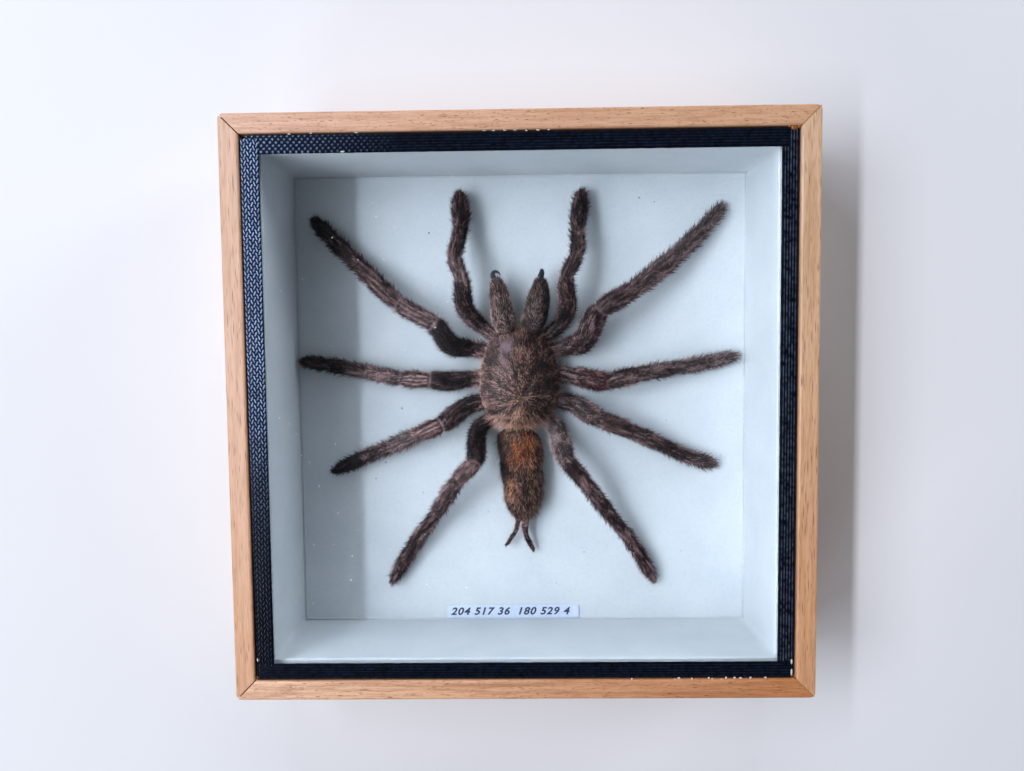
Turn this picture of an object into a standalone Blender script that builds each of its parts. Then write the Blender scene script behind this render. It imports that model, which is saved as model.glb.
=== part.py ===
"""A dried tarantula in a small glazed shadow box, built with the box lying on its back.

Metres, +Z up. The origin is the middle of the box's underside. +Y is the side of the box
that is its top edge when it stands or hangs, and left and right are those of someone who
looks in through the glass with that edge up.
"""

import math
from typing import NamedTuple

import bmesh
import bpy
from mathutils import Matrix, Vector

MM = 0.001

# The case
CASE_WIDTH = 152.4 * MM
CASE_HEIGHT = 38 * MM
GAP = 0.3 * MM  # left open between two pieces that touch
STRIP_THICKNESS = 5.2 * MM
STRIP_CORNER_RADIUS = 1.5 * MM
CORNER_SEGMENTS = 4
STRIP_EDGE_RADIUS = 0.5 * MM
EDGE_SEGMENTS = 2
SHARP_EDGE = math.radians(35)  # edges that turn more than this are worn round
BACK_THICKNESS = 3 * MM
BOARD_THICKNESS = 2 * MM
GLASS_THICKNESS = 2 * MM
GLASS_RECESS = 1.2 * MM  # from the strips' front down to the glass
TAPE_THICKNESS = 0.3 * MM
TAPE_FOLD_DEPTH = 10 * MM  # how far the tape is turned down behind the wood
TAPE_MARGIN = {"top": 4.7 * MM, "right": 4.35 * MM, "bottom": 4.2 * MM, "left": 4.7 * MM}
LINER_THICKNESS = 3.4 * MM
FULL_WIDTH_WALLS = ("top", "bottom")  # the other two card walls stand between these
LABEL_SIZE = (40 * MM, 4.1 * MM, 0.3 * MM)
LABEL_PLACE = (-3.1 * MM, -64.1 * MM)

WOOD_INSIDE = CASE_WIDTH / 2 - STRIP_THICKNESS
TAPE_OUTSIDE = WOOD_INSIDE - GAP
PANE_HALF = TAPE_OUTSIDE - TAPE_THICKNESS - GAP
LINER_INSIDE = PANE_HALF - LINER_THICKNESS
FLOOR = BACK_THICKNESS + GAP + BOARD_THICKNESS
GLASS_TOP = CASE_HEIGHT - GLASS_RECESS
GLASS_BOTTOM = GLASS_TOP - GLASS_THICKNESS

MITRE_BLOCK = 4 * STRIP_THICKNESS  # the side of the block that saws a mitre, well past the cut

# Which way each side of the case faces, as a turn from the top side
SIDE_TURN = {"top": 0, "right": -90, "bottom": 180, "left": 90}

# The body's fore part. Its edge is two half ovals, one towards the fangs and one towards the
# abdomen, drawn in behind the eyes, and its rings close on the fovea, the pit in its back.
CARAPACE_MIDDLE = Vector((-0.6, 5.5)) * MM
CARAPACE_HALF_WIDTH = 11.7 * MM
CARAPACE_FRONT = 16.2 * MM
CARAPACE_BACK = 12.6 * MM
FRONT_SQUARENESS = 2.5
BACK_SQUARENESS = 2.3
# The waist behind the eyes: its depth as a share of the width, its place and its reach as
# shares of the front's length
WAIST_DEPTH, WAIST_PLACE, WAIST_REACH = 0.07, 0.66, 0.25
EDGE_HEIGHT = 11.2 * MM
DOME_RISE = 5.4 * MM
BELLY_DROP = EDGE_HEIGHT - FLOOR - GAP
DOME_FULLNESS = (2.2, 0.62)  # how steeply the top rises at the edge, and how flat its middle is
BELLY_FULLNESS = (4.5, 0.8)
FOVEA = Vector((0.2, 1.9)) * MM
# Each swelling or pit of the carapace: its middle, its rise and its reach
CARAPACE_RELIEF = {
    "head": (Vector((-0.8, 13.5)) * MM, 0.9 * MM, 6 * MM),
    "eye mound": (Vector((-1.1, 19.0)) * MM, 0.9 * MM, 1.5 * MM),
    "fovea": (FOVEA, -1.0 * MM, 1.6 * MM),
}
CARAPACE_SEGMENTS = 36
CARAPACE_RINGS = 18

# The abdomen, shrivelled: an egg that lies on the floor, with dried folds along it
ABDOMEN_FRONT = -7.6 * MM
ABDOMEN_LENGTH = 27.4 * MM
ABDOMEN_FRONT_MIDDLE = -1.4 * MM
ABDOMEN_END_MIDDLE = 0.3 * MM
ABDOMEN_HALF_WIDTH = 6.9 * MM
ABDOMEN_HALF_HEIGHT = 4.2 * MM
ABDOMEN_MIDDLE_HEIGHT = 9.9 * MM
ABDOMEN_TAPER = 0.2
FRONT_ROUNDING = (0.2, 2.4)  # the share of the length that is rounded, and its squareness
END_ROUNDING = (0.38, 2.3)
# Each family of folds: its depth, its number round the body and its turn along it in radians
ABDOMEN_FOLDS = ((0.05, 5, 9), (0.04, 3, -17))
ABDOMEN_SEGMENTS = 26
ABDOMEN_RINGS = 18


class Limb(NamedTuple):
    """A limb as a chain of stiff segments, in millimetres and degrees."""

    root: tuple  # where its centreline starts, inside the body
    widths: tuple  # of each segment
    segments: tuple  # of each segment: length, heading from +X, rise from the floor


LEG_PARTS = ("trochanter", "femur base", "femur end", "patella", "tibia", "metatarsus", "tarsus")
PALP_PARTS = ("trochanter", "femur base", "femur end", "patella", "tibia", "club")

# How full each segment is along its length: (fraction of the length, share of the width)
FULLNESS = {
    "trochanter": ((0.0, 0.76), (0.5, 0.84)),
    "femur base": ((0.0, 0.88), (0.5, 1.0)),
    "femur end": ((0.0, 1.04), (0.45, 1.04), (0.82, 0.95)),
    "patella": ((0.0, 0.84), (0.15, 0.98), (0.5, 1.02), (0.85, 0.98)),
    "tibia": ((0.0, 0.88), (0.12, 0.98), (0.5, 1.02), (0.88, 0.98)),
    "metatarsus": ((0.0, 0.9), (0.12, 0.98), (0.5, 0.98), (0.88, 1.0)),
    "tarsus": ((0.0, 0.9), (0.15, 1.0), (0.5, 1.03), (0.78, 0.98), (0.93, 0.76), (1.0, 0.36)),
    "club": ((0.0, 0.74), (0.15, 0.86), (0.45, 1.0), (0.75, 1.02), (0.92, 0.8), (1.0, 0.4)),
}

LEGS = {
    "leg_1_left": Limb(
        (-6.5, 14.9, 8.0),
        (5.2, 5.8, 5.8, 5.1, 4.9, 4.9, 4.7),
        ((8.1, 174, 9), (6.9, 168, 30), (7.8, 126, 23), (11.8, 149, -6), (19.0, 137, -13),
         (10.6, 134, -8), (7.0, 134, -6)),
    ),
    "leg_2_left": Limb(
        (-7.0, 7.4, 8.0),
        (5.5, 5.5, 5.5, 4.9, 4.3, 4.3, 3.9),
        ((8.3, -176, 9), (6.2, -176, 24), (5.6, 175, 18), (8.6, 177, -5), (16.2, 169, -12),
         (9.7, 171, -7), (5.6, 172, -7)),
    ),
    "leg_3_left": Limb(
        (-7.0, 0.2, 8.0),
        (5.8, 5.8, 5.8, 5.0, 4.6, 4.1, 4.1),
        ((7.3, -176, 10), (5.7, -150, 20), (5.6, -145, 21), (6.7, -157, -3), (10.5, -156, -14),
         (9.2, -158, -10), (10.6, -156, -5)),
    ),
    "leg_4_left": Limb(
        (-6.4, -3.7, 8.0),
        (5.0, 5.5, 5.5, 4.7, 4.3, 3.8, 4.1),
        ((7.2, -149, 14), (5.9, -99, 40), (6.2, -95, 41), (6.8, -134, -4), (13.6, -123, -20),
         (14.5, -125, -14), (12.5, -120, -6)),
    ),
    "leg_1_right": Limb(
        (6.0, 14.4, 8.2),
        (5.6, 6.6, 6.7, 5.8, 5.2, 4.9, 4.2),
        ((8.8, 12, 9), (5.2, 27, 32), (9.8, 63, 26), (11.4, 32, -10), (15.4, 37, -13),
         (12.0, 43, -10), (9.9, 48, -7)),
    ),
    "leg_2_right": Limb(
        (7.2, 9.2, 8.0),
        (5.8, 5.8, 5.8, 5.2, 4.4, 4.1, 4.1),
        ((9.1, -12, 9), (4.9, -11, 30), (4.8, -7, 20), (9.3, 12, -5), (11.0, 8, -14),
         (9.6, 9, -9), (10.5, 11, -5)),
    ),
    "leg_3_right": Limb(
        (6.6, 0.9, 8.0),
        (5.8, 5.8, 5.8, 5.2, 4.4, 4.1, 4.3),
        ((8.5, -10, 10), (5.1, -29, 30), (4.9, -28, 16), (9.0, -23, -5), (9.7, -25, -14),
         (9.9, -25, -10), (9.5, -18, -4)),
    ),
    "leg_4_right": Limb(
        (5.2, -2.8, 8.0),
        (5.8, 5.8, 5.8, 4.9, 4.2, 3.7, 4.0),
        ((7.4, -45, 14), (6.2, -75, 42), (5.6, -70, 39), (7.7, -51, -3), (13.1, -54, -20),
         (14.7, -54, -14), (12.0, -61, -6)),
    ),
}

PALPS = {
    "pedipalp_left": Limb(
        (-5.0, 17.4, 8.3),
        (4.3, 5.0, 5.0, 4.3, 4.1, 5.5),
        ((8.0, 143, 7), (8.5, 130, 34), (8.6, 93, 31), (7.0, 107, -12), (10.2, 81, -29),
         (11.2, 93, -16)),
    ),
    "pedipalp_right": Limb(
        (4.0, 17.3, 8.3),
        (4.3, 4.9, 4.9, 4.1, 3.9, 5.2),
        ((7.7, 33, 7), (7.7, 62, 34), (9.5, 93, 31), (7.7, 66, -15), (9.4, 86, -28),
         (11.3, 82, -16)),
    ),
}

# How finely the tubes are faceted: a ring has four sides, and two more for each step of detail
LIMB_DETAIL = 4
CHELICERA_DETAIL = 5
THIN_DETAIL = 2  # of the fangs and spinnerets
WELD_DISTANCE = 0.01 * MM

# Short tapering pieces, each as (x, y, z, radius) in millimetres along its centreline
CHELICERAE = {
    "chelicera_left": (
        (-4.4, 19.0, 12.4, 2.7),
        (-4.8, 22.5, 13.2, 3.05),
        (-5.2, 25.5, 13.9, 3.25),
        (-5.6, 28.8, 14.2, 3.3),
        (-6.1, 31.8, 13.9, 2.95),
        (-6.5, 33.9, 13.3, 2.45),
        (-6.7, 35.0, 12.9, 1.8),
        (-6.8, 35.4, 12.8, 1.0),
    ),
    "chelicera_right": (
        (3.4, 19.0, 12.4, 2.9),
        (3.8, 22.5, 13.2, 3.4),
        (4.4, 25.5, 13.9, 3.65),
        (4.9, 28.8, 14.2, 3.65),
        (5.2, 31.8, 13.9, 3.15),
        (5.4, 33.9, 13.3, 2.45),
        (5.5, 34.9, 12.9, 1.8),
        (5.5, 35.3, 12.8, 1.0),
    ),
}
FANGS = {
    "fang_left": (
        (-7.5, 35.9, 13.3, 0.9),
        (-7.8, 36.5, 13.3, 0.85),
        (-7.9, 37.2, 13.0, 0.75),
        (-7.4, 37.8, 12.4, 0.6),
        (-6.6, 37.9, 11.6, 0.42),
        (-6.0, 37.5, 10.8, 0.24),
        (-5.7, 36.9, 10.2, 0.1),
    ),
    "fang_right": (
        (5.7, 35.8, 13.3, 0.95),
        (6.0, 36.5, 13.4, 0.95),
        (6.2, 37.2, 13.1, 0.85),
        (6.3, 37.9, 12.4, 0.68),
        (6.2, 38.2, 11.4, 0.5),
        (6.0, 38.0, 10.4, 0.3),
        (5.8, 37.5, 9.7, 0.12),
    ),
}
SPINNERETS = {
    "spinneret_left": (
        (-1.5, -35.5, 9.4, 0.75),
        (-1.7, -37.0, 9.3, 0.72),
        (-2.1, -38.6, 9.0, 0.66),
        (-3.1, -40.2, 8.6, 0.66),
        (-4.1, -41.8, 8.2, 0.6),
        (-4.9, -42.9, 7.9, 0.42),
        (-5.1, -43.2, 7.8, 0.2),
    ),
    "spinneret_right": (
        (0.8, -35.5, 9.4, 1.05),
        (0.8, -37.4, 9.3, 1.0),
        (0.9, -39.4, 9.0, 0.86),
        (1.5, -41.2, 8.6, 0.82),
        (2.3, -42.9, 8.2, 0.76),
        (3.1, -44.4, 7.8, 0.55),
        (3.3, -44.8, 7.7, 0.25),
    ),
}


def new_collection(name):
    collection = bpy.data.collections.new(name)
    bpy.context.scene.collection.children.link(collection)
    return collection


def new_material(name, colour, roughness, metallic=0.0, transmission=0.0):
    material = bpy.data.materials.new(name)
    material.use_nodes = True
    shader = material.node_tree.nodes["Principled BSDF"]
    shader.inputs["Base Color"].default_value = (*colour, 1.0)
    shader.inputs["Roughness"].default_value = roughness
    shader.inputs["Metallic"].default_value = metallic
    shader.inputs["Transmission Weight"].default_value = transmission
    return material


def add_object(name, data, material, collection):
    data.materials.clear()
    data.materials.append(material)
    piece = bpy.data.objects.new(name, data)
    collection.objects.link(piece)
    return piece


def add_cutter(name, mesh, cutters):
    """A shape that only cuts others away and is itself never shown."""
    cutter = bpy.data.objects.new(name, mesh)
    cutters.objects.link(cutter)
    cutter.hide_render = True
    cutter.display_type = "WIRE"
    return cutter


def mesh_from(name, shape):
    """Turns a bmesh into a mesh and lets it go."""
    mesh = bpy.data.meshes.new(name)
    shape.to_mesh(mesh)
    shape.free()
    return mesh


def box_mesh(name, size):
    shape = bmesh.new()
    bmesh.ops.create_cube(shape, size=1.0)
    bmesh.ops.scale(shape, verts=shape.verts, vec=size)
    return mesh_from(name, shape)


def add_box(name, size, middle, material, collection):
    piece = add_object(name, box_mesh(name, size), material, collection)
    piece.location = middle
    return piece


def facing(side):
    """The turn about Z that carries a piece made for the top side round to this side."""
    return Matrix.Rotation(math.radians(SIDE_TURN[side]), 4, "Z")


# The case


def mitre_cutter(name, side, end, cutters):
    """A block that saws one end of a side's strip off along the case's diagonal."""
    off_the_strip = Vector((end, -1, 0)).normalized()
    mitre_middle = Vector((end, 1, 0)) * (CASE_WIDTH - STRIP_THICKNESS) / 2
    place = Matrix.Translation(mitre_middle + off_the_strip * (MITRE_BLOCK - GAP) / 2)
    size = (MITRE_BLOCK, MITRE_BLOCK, 2 * CASE_HEIGHT)
    cutter = add_cutter(name, box_mesh(name, size), cutters)
    cutter.matrix_world = facing(side) @ place @ Matrix.Rotation(math.radians(45), 4, "Z")
    return cutter


def add_frame_strip(side, material, collection, cutters):
    """One wood strip: a planed bar with worn edges and a mitre at each end."""
    name = "frame_" + side
    mesh = box_mesh(name, (CASE_WIDTH, STRIP_THICKNESS, CASE_HEIGHT))
    corner_edges = mesh.attributes.new("bevel_weight_edge", "FLOAT", "EDGE")
    for edge in mesh.edges:
        ends = [mesh.vertices[index].co for index in edge.vertices]
        upright = abs(ends[0].z - ends[1].z) > GAP
        outside = ends[0].y > 0
        corner_edges.data[edge.index].value = float(upright and outside)
    strip = add_object(name, mesh, material, collection)
    middle = (0, (CASE_WIDTH - STRIP_THICKNESS) / 2, CASE_HEIGHT / 2)
    strip.matrix_world = facing(side) @ Matrix.Translation(middle)

    corners = strip.modifiers.new("case corners", "BEVEL")
    corners.limit_method = "WEIGHT"
    corners.width = STRIP_CORNER_RADIUS
    corners.segments = CORNER_SEGMENTS
    edges = strip.modifiers.new("worn edges", "BEVEL")
    edges.limit_method = "ANGLE"
    edges.angle_limit = SHARP_EDGE
    edges.width = STRIP_EDGE_RADIUS
    edges.segments = EDGE_SEGMENTS
    for end, saw_name in ((-1, "first_mitre"), (1, "second_mitre")):
        saw = strip.modifiers.new(saw_name, "BOOLEAN")
        saw.operation = "DIFFERENCE"
        saw.object = mitre_cutter(f"{name}_{saw_name}", side, end, cutters)


def add_tape(side, start, stop, material, collection):
    """Binding tape along one side: an angle that lies on the glass and is folded down outside it."""
    glass_side = TAPE_OUTSIDE - TAPE_MARGIN[side]
    top = GLASS_TOP + GAP + TAPE_THICKNESS
    under = top - TAPE_THICKNESS
    fold_inside = TAPE_OUTSIDE - TAPE_THICKNESS
    outline = (
        (glass_side, top),
        (glass_side, under),
        (fold_inside, under),
        (fold_inside, top - TAPE_FOLD_DEPTH),
        (TAPE_OUTSIDE, top - TAPE_FOLD_DEPTH),
        (TAPE_OUTSIDE, top),
    )
    name = "tape_" + side
    curve = bpy.data.curves.new(name, "CURVE")
    curve.dimensions = "2D"
    curve.fill_mode = "BOTH"
    curve.extrude = (stop - start) / 2
    spline = curve.splines.new("POLY")
    spline.points.add(len(outline) - 1)
    for point, (across, height) in zip(spline.points, outline):
        point.co = (across, height, 0, 1)
    spline.use_cyclic_u = True
    tape = add_object(name, curve, material, collection)
    # The outline's own X points out of the case and its Y up, so the strip runs along its Z.
    upright = Matrix(((0, 0, 1), (1, 0, 0), (0, 1, 0))).to_4x4()
    along = Matrix.Translation(((start + stop) / 2, 0, 0))
    tape.matrix_world = facing(side) @ along @ upright


def add_case(collection, cutters):
    wood = new_material("pale_wood", (0.56, 0.34, 0.17), 0.5)
    board = new_material("backing_board", (0.36, 0.25, 0.16), 0.85)
    card = new_material("white_card", (0.66, 0.74, 0.8), 0.8)
    pane = new_material("clear_glass", (0.97, 0.99, 0.98), 0.02, transmission=1.0)
    binding = new_material("black_binding", (0.012, 0.014, 0.022), 0.4)
    paper = new_material("label_paper", (0.72, 0.78, 0.86), 0.75)

    for side in SIDE_TURN:
        add_frame_strip(side, wood, collection, cutters)

    inside = 2 * TAPE_OUTSIDE
    back = (inside, inside, BACK_THICKNESS)
    add_box("back_panel", back, (0, 0, BACK_THICKNESS / 2), board, collection)
    board_size = (inside, inside, BOARD_THICKNESS)
    add_box("mounting_board", board_size, (0, 0, FLOOR - BOARD_THICKNESS / 2), card, collection)
    add_liner(card, collection)

    pane_size = (2 * PANE_HALF, 2 * PANE_HALF, GLASS_THICKNESS)
    add_box("glass", pane_size, (0, 0, GLASS_TOP - GLASS_THICKNESS / 2), pane, collection)
    add_tapes(binding, collection)
    label_height = FLOOR + GAP + LABEL_SIZE[2] / 2
    add_box("label", LABEL_SIZE, (*LABEL_PLACE, label_height), paper, collection)


def add_liner(card, collection):
    """Four card walls: two run the case's whole width and the other two stand between them."""
    height = GLASS_BOTTOM - FLOOR - 2 * GAP
    middle = LINER_INSIDE + LINER_THICKNESS / 2
    middle_height = FLOOR + GAP + height / 2
    for side in SIDE_TURN:
        half_length = PANE_HALF if side in FULL_WIDTH_WALLS else LINER_INSIDE - GAP
        size = (2 * half_length, LINER_THICKNESS, height)
        wall = add_object("liner_" + side, box_mesh("liner_" + side, size), card, collection)
        wall.matrix_world = facing(side) @ Matrix.Translation((0, middle, middle_height))


def add_tapes(binding, collection):
    """The strips butt at the corners: whichever lies uppermost there has the whole corner."""
    opening = {side: TAPE_OUTSIDE - margin for side, margin in TAPE_MARGIN.items()}
    add_tape("bottom", -TAPE_OUTSIDE, TAPE_OUTSIDE, binding, collection)
    add_tape("left", -(opening["bottom"] - GAP), TAPE_OUTSIDE, binding, collection)
    add_tape("top", -(opening["left"] - GAP), TAPE_OUTSIDE, binding, collection)
    add_tape("right", -(opening["top"] - GAP), opening["bottom"] - GAP, binding, collection)


# The spider


def smooth_between(points, fraction):
    """A place on the smooth curve through four points, between the middle two."""
    before, start, end, after = points
    first = (end - before) / 2
    last = (after - start) / 2
    square, cube = fraction**2, fraction**3
    return (
        (2 * cube - 3 * square + 1) * start
        + (cube - 2 * square + fraction) * first
        + (3 * square - 2 * cube) * end
        + (cube - square) * last
    )


def direction(heading, rise):
    heading, rise = math.radians(heading), math.radians(rise)
    level = math.cos(rise)
    return Vector((level * math.cos(heading), level * math.sin(heading), math.sin(rise)))


def limb_stations(limb, parts):
    """The places and radii along a limb, whose centreline bends smoothly through its joints."""
    joints = [Vector(limb.root)]
    for length, heading, rise in limb.segments:
        joints.append(joints[-1] + length * direction(heading, rise))
    line = [2 * joints[0] - joints[1], *joints, 2 * joints[-1] - joints[-2]]
    stations = []
    for index, (part, width) in enumerate(zip(parts, limb.widths)):
        for fraction, fullness in FULLNESS[part]:
            place = smooth_between(line[index : index + 4], fraction)
            stations.append((place * MM, fullness * width / 2 * MM))
    return stations


def short_stations(rows):
    """The places and radii of a piece that is given point by point."""
    return [(Vector(row[:3]) * MM, row[3] * MM) for row in rows]


def tube_mesh(name, stations, ring_detail):
    """A tapering round tube with closed ends."""
    curve = bpy.data.curves.new(name + "_centreline", "CURVE")
    curve.dimensions = "3D"
    curve.bevel_depth = 1.0  # so that a point's radius is in metres
    curve.bevel_resolution = ring_detail
    curve.use_fill_caps = True
    spline = curve.splines.new("POLY")
    spline.points.add(len(stations) - 1)
    for point, (place, radius) in zip(spline.points, stations):
        point.co = (*place, 1)
        point.radius = radius
    line = bpy.data.objects.new(name + "_centreline", curve)
    bpy.context.scene.collection.objects.link(line)
    evaluated = line.evaluated_get(bpy.context.evaluated_depsgraph_get())
    mesh = bpy.data.meshes.new_from_object(evaluated)
    mesh.name = name
    bpy.data.objects.remove(line)
    shape = bmesh.new()
    shape.from_mesh(mesh)
    bmesh.ops.remove_doubles(shape, verts=shape.verts, dist=WELD_DISTANCE)
    shape.to_mesh(mesh)
    shape.free()
    return mesh


def add_tube(name, stations, ring_detail, material, collection):
    piece = add_object(name, tube_mesh(name, stations, ring_detail), material, collection)
    piece.data.shade_smooth()
    return piece


def hump(distance, reach):
    """A smooth bump, 1 at its middle and almost nothing past twice its reach."""
    return math.exp(-((distance / reach) ** 2))


def carapace_edge(angle, grow):
    """The carapace's edge in this direction from its middle, seen from above."""
    across, along = math.cos(angle), math.sin(angle)
    squareness = FRONT_SQUARENESS if along > 0 else BACK_SQUARENESS
    length = (CARAPACE_FRONT if along > 0 else CARAPACE_BACK) + grow
    width = CARAPACE_HALF_WIDTH + grow
    oval = (abs(across / width) ** squareness + abs(along / length) ** squareness) ** (-1 / squareness)
    edge = Vector((across, along)) * oval
    edge.x *= 1 - WAIST_DEPTH * hump(edge.y / CARAPACE_FRONT - WAIST_PLACE, WAIST_REACH)
    return edge


def cephalothorax_place(on_ball, grow):
    """Moves a point of a unit ball to the fore body: belly below the edge, carapace above it."""
    angle = math.atan2(on_ball.y, on_ball.x)
    reach = math.hypot(on_ball.x, on_ball.y)
    edge = carapace_edge(angle, grow)
    if on_ball.z <= 0:
        place = CARAPACE_MIDDLE + edge * reach
        steepness, flatness = BELLY_FULLNESS
        height = EDGE_HEIGHT - (BELLY_DROP + grow) * (1 - reach**steepness) ** flatness
        return Vector((*place, height))
    place = CARAPACE_MIDDLE.lerp(FOVEA, 1 - reach) + edge * reach
    steepness, flatness = DOME_FULLNESS
    height = EDGE_HEIGHT + (DOME_RISE + grow) * (1 - reach**steepness) ** flatness
    for middle, rise, spread in CARAPACE_RELIEF.values():
        height += rise * hump((place - middle).length, spread)
    return Vector((*place, height))


def cephalothorax_mesh(name, grow=0.0):
    shape = bmesh.new()
    bmesh.ops.create_uvsphere(
        shape, u_segments=CARAPACE_SEGMENTS, v_segments=CARAPACE_RINGS, radius=1.0
    )
    for vertex in shape.verts:
        vertex.co = cephalothorax_place(vertex.co, grow)
    return mesh_from(name, shape)


def rounding(from_end, share_and_squareness):
    """How full a body is this share of its length away from an end that is rounded off."""
    share, squareness = share_and_squareness
    inwards = 1 - min(from_end / share, 1)
    return (1 - inwards**squareness) ** (1 / squareness)


def abdomen_place(on_ball):
    """Moves a point of a unit ball, its poles on Y, to the abdomen with its dried folds."""
    along = (1 - on_ball.y) / 2
    angle = math.atan2(on_ball.z, on_ball.x)
    full = rounding(along, FRONT_ROUNDING) * rounding(1 - along, END_ROUNDING)
    full *= 1 - ABDOMEN_TAPER * along
    for depth, count, turn in ABDOMEN_FOLDS:
        full *= 1 + depth * math.sin(count * angle + turn * along)
    drift = min(2 * along, 1)
    middle = ABDOMEN_FRONT_MIDDLE + (ABDOMEN_END_MIDDLE - ABDOMEN_FRONT_MIDDLE) * drift
    across = ABDOMEN_HALF_WIDTH * full * math.cos(angle)
    height = ABDOMEN_MIDDLE_HEIGHT + ABDOMEN_HALF_HEIGHT * full * math.sin(angle)
    height = max(height, FLOOR + GAP)
    return Vector((middle + across, ABDOMEN_FRONT - along * ABDOMEN_LENGTH, height))


def abdomen_mesh():
    shape = bmesh.new()
    bmesh.ops.create_uvsphere(
        shape, u_segments=ABDOMEN_SEGMENTS, v_segments=ABDOMEN_RINGS, radius=1.0
    )
    bmesh.ops.rotate(shape, verts=shape.verts, matrix=Matrix.Rotation(math.radians(-90), 3, "X"))
    for vertex in shape.verts:
        vertex.co = abdomen_place(vertex.co)
    return mesh_from("abdomen", shape)


def trim_at_body(piece, body):
    """Cuts a limb's root to the body's side."""
    cut = piece.modifiers.new("meets the body", "BOOLEAN")
    cut.operation = "DIFFERENCE"
    cut.object = body


def add_spider(collection, cutters):
    shield = new_material("carapace_brown", (0.075, 0.038, 0.028), 0.5)
    fur = new_material("dark_fur", (0.045, 0.024, 0.02), 0.8)
    rust_fur = new_material("rusty_fur", (0.1, 0.045, 0.024), 0.8)
    grey_fur = new_material("grey_brown_fur", (0.085, 0.055, 0.042), 0.8)
    claw = new_material("black_claw", (0.008, 0.008, 0.012), 0.2)

    body = add_object("cephalothorax", cephalothorax_mesh("cephalothorax"), shield, collection)
    body.data.shade_smooth()
    hind_body = add_object("abdomen", abdomen_mesh(), rust_fur, collection)
    hind_body.data.shade_smooth()
    # Limbs are trimmed a gap away from the fore body's skin.
    clearance = add_cutter("body_clearance", cephalothorax_mesh("body_clearance", GAP), cutters)

    for name, limb in LEGS.items():
        leg = add_tube(name, limb_stations(limb, LEG_PARTS), LIMB_DETAIL, fur, collection)
        trim_at_body(leg, clearance)
    for name, limb in PALPS.items():
        palp = add_tube(name, limb_stations(limb, PALP_PARTS), LIMB_DETAIL, fur, collection)
        trim_at_body(palp, clearance)
    for name, rows in CHELICERAE.items():
        chelicera = add_tube(name, short_stations(rows), CHELICERA_DETAIL, grey_fur, collection)
        trim_at_body(chelicera, clearance)
    for name, rows in FANGS.items():
        add_tube(name, short_stations(rows), THIN_DETAIL, claw, collection)
    for name, rows in SPINNERETS.items():
        add_tube(name, short_stations(rows), THIN_DETAIL, fur, collection)


def main():
    for old in list(bpy.data.objects):
        bpy.data.objects.remove(old)
    specimen = new_collection("framed_tarantula")
    cutters = new_collection("cutters")
    cutters.hide_render = True
    add_case(specimen, cutters)
    add_spider(specimen, cutters)


main()
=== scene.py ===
# %% [markdown]
# # A dried tarantula in its glazed box
#
# The object is a shallow box of mitred wood strips, lined with white paper and closed by a
# pane that black binding tape holds down. A dried spider lies in it. A CAD model of it is
# packed already, in metres, with +Z out through the glass and +Y towards the box's top edge.
# This lesson dresses that model: what is right in the CAD keeps its shape and gets a
# material, and fur, tape and paper are modelled over it or in its place.

# %% Load the CAD frame
import functools
import math

import bmesh
import bpy
import numpy as np
from mathutils import Matrix, Vector, noise


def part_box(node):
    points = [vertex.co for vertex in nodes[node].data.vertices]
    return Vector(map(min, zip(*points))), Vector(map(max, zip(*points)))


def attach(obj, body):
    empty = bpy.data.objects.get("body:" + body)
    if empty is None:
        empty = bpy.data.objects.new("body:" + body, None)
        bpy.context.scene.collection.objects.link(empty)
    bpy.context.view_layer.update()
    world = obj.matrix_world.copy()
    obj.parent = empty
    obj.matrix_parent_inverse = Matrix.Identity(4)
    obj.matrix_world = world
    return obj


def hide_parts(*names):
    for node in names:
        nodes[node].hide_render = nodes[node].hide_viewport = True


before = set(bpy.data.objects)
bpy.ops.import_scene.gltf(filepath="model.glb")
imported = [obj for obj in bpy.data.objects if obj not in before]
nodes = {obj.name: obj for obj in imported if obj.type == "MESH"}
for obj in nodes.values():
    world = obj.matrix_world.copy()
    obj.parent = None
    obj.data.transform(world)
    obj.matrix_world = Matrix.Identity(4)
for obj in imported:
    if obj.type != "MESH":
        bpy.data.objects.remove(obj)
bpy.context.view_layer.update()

MM = 0.001

# %% [markdown]
# ## Camera
#
# The photograph was taken by hand from almost straight above, with the wide lens of a phone.
# Its place was worked out from the corners of the box's rim, glass and floor, so the box can
# be drawn with the same slight lean.

# %% The camera
CAMERA_PLACE = (0.65, 17.78, 231.01)  # mm
CAMERA_TURN = (-3.36, 0.833, -0.641)  # degrees
SENSOR_WIDTH, FOCAL_LENGTH = 36, 26.52  # mm

lens = bpy.data.cameras.new("camera")
lens.sensor_width = SENSOR_WIDTH
lens.lens = FOCAL_LENGTH
lens.clip_start = 0.01
camera = bpy.data.objects.new("camera", lens)
camera.location = Vector(CAMERA_PLACE) * MM
camera.rotation_euler = [math.radians(turn) for turn in CAMERA_TURN]
bpy.context.scene.collection.objects.link(camera)
bpy.context.scene.camera = camera
bpy.context.scene.view_settings.view_transform = "Standard"
print("camera", [round(v / MM, 1) for v in camera.location], "mm")

# %% [markdown]
# ## Light
#
# A window on the left is the strong light. It is long from the box's top to its bottom and
# narrow across, so the left wall's shadow on the floor has a fairly sharp edge while the top
# wall's fades slowly. Weak, wide lamps stand for the rest of the window, for the ceiling at
# the far side, and for what the room gives back from the right and from the near side. All
# are slightly blue, as daylight from a window is.

# %% Lamps
DAYLIGHT = (0.84, 0.88, 1.0)
# Each lamp: where it stands in metres, its size along and across the box's side, its watts
LAMPS = {
    "window": ((-0.632, 0.12, 1.044), 1.4, 0.06, 10.8),
    "window_spread": ((-0.86, 0.12, 1.0), 0.6, 0.36, 5.6),
    "ceiling_glow": ((0.0, 1.0, 0.33), 0.4, 0.4, 4.4),
    "room_glow": ((1.0, 0.55, 0.27), 0.4, 0.25, 5.2),
    "near_glow": ((-0.5, -0.87, 0.35), 0.4, 0.4, 2.9),
}
SKY_STRENGTH = 0.02

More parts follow.
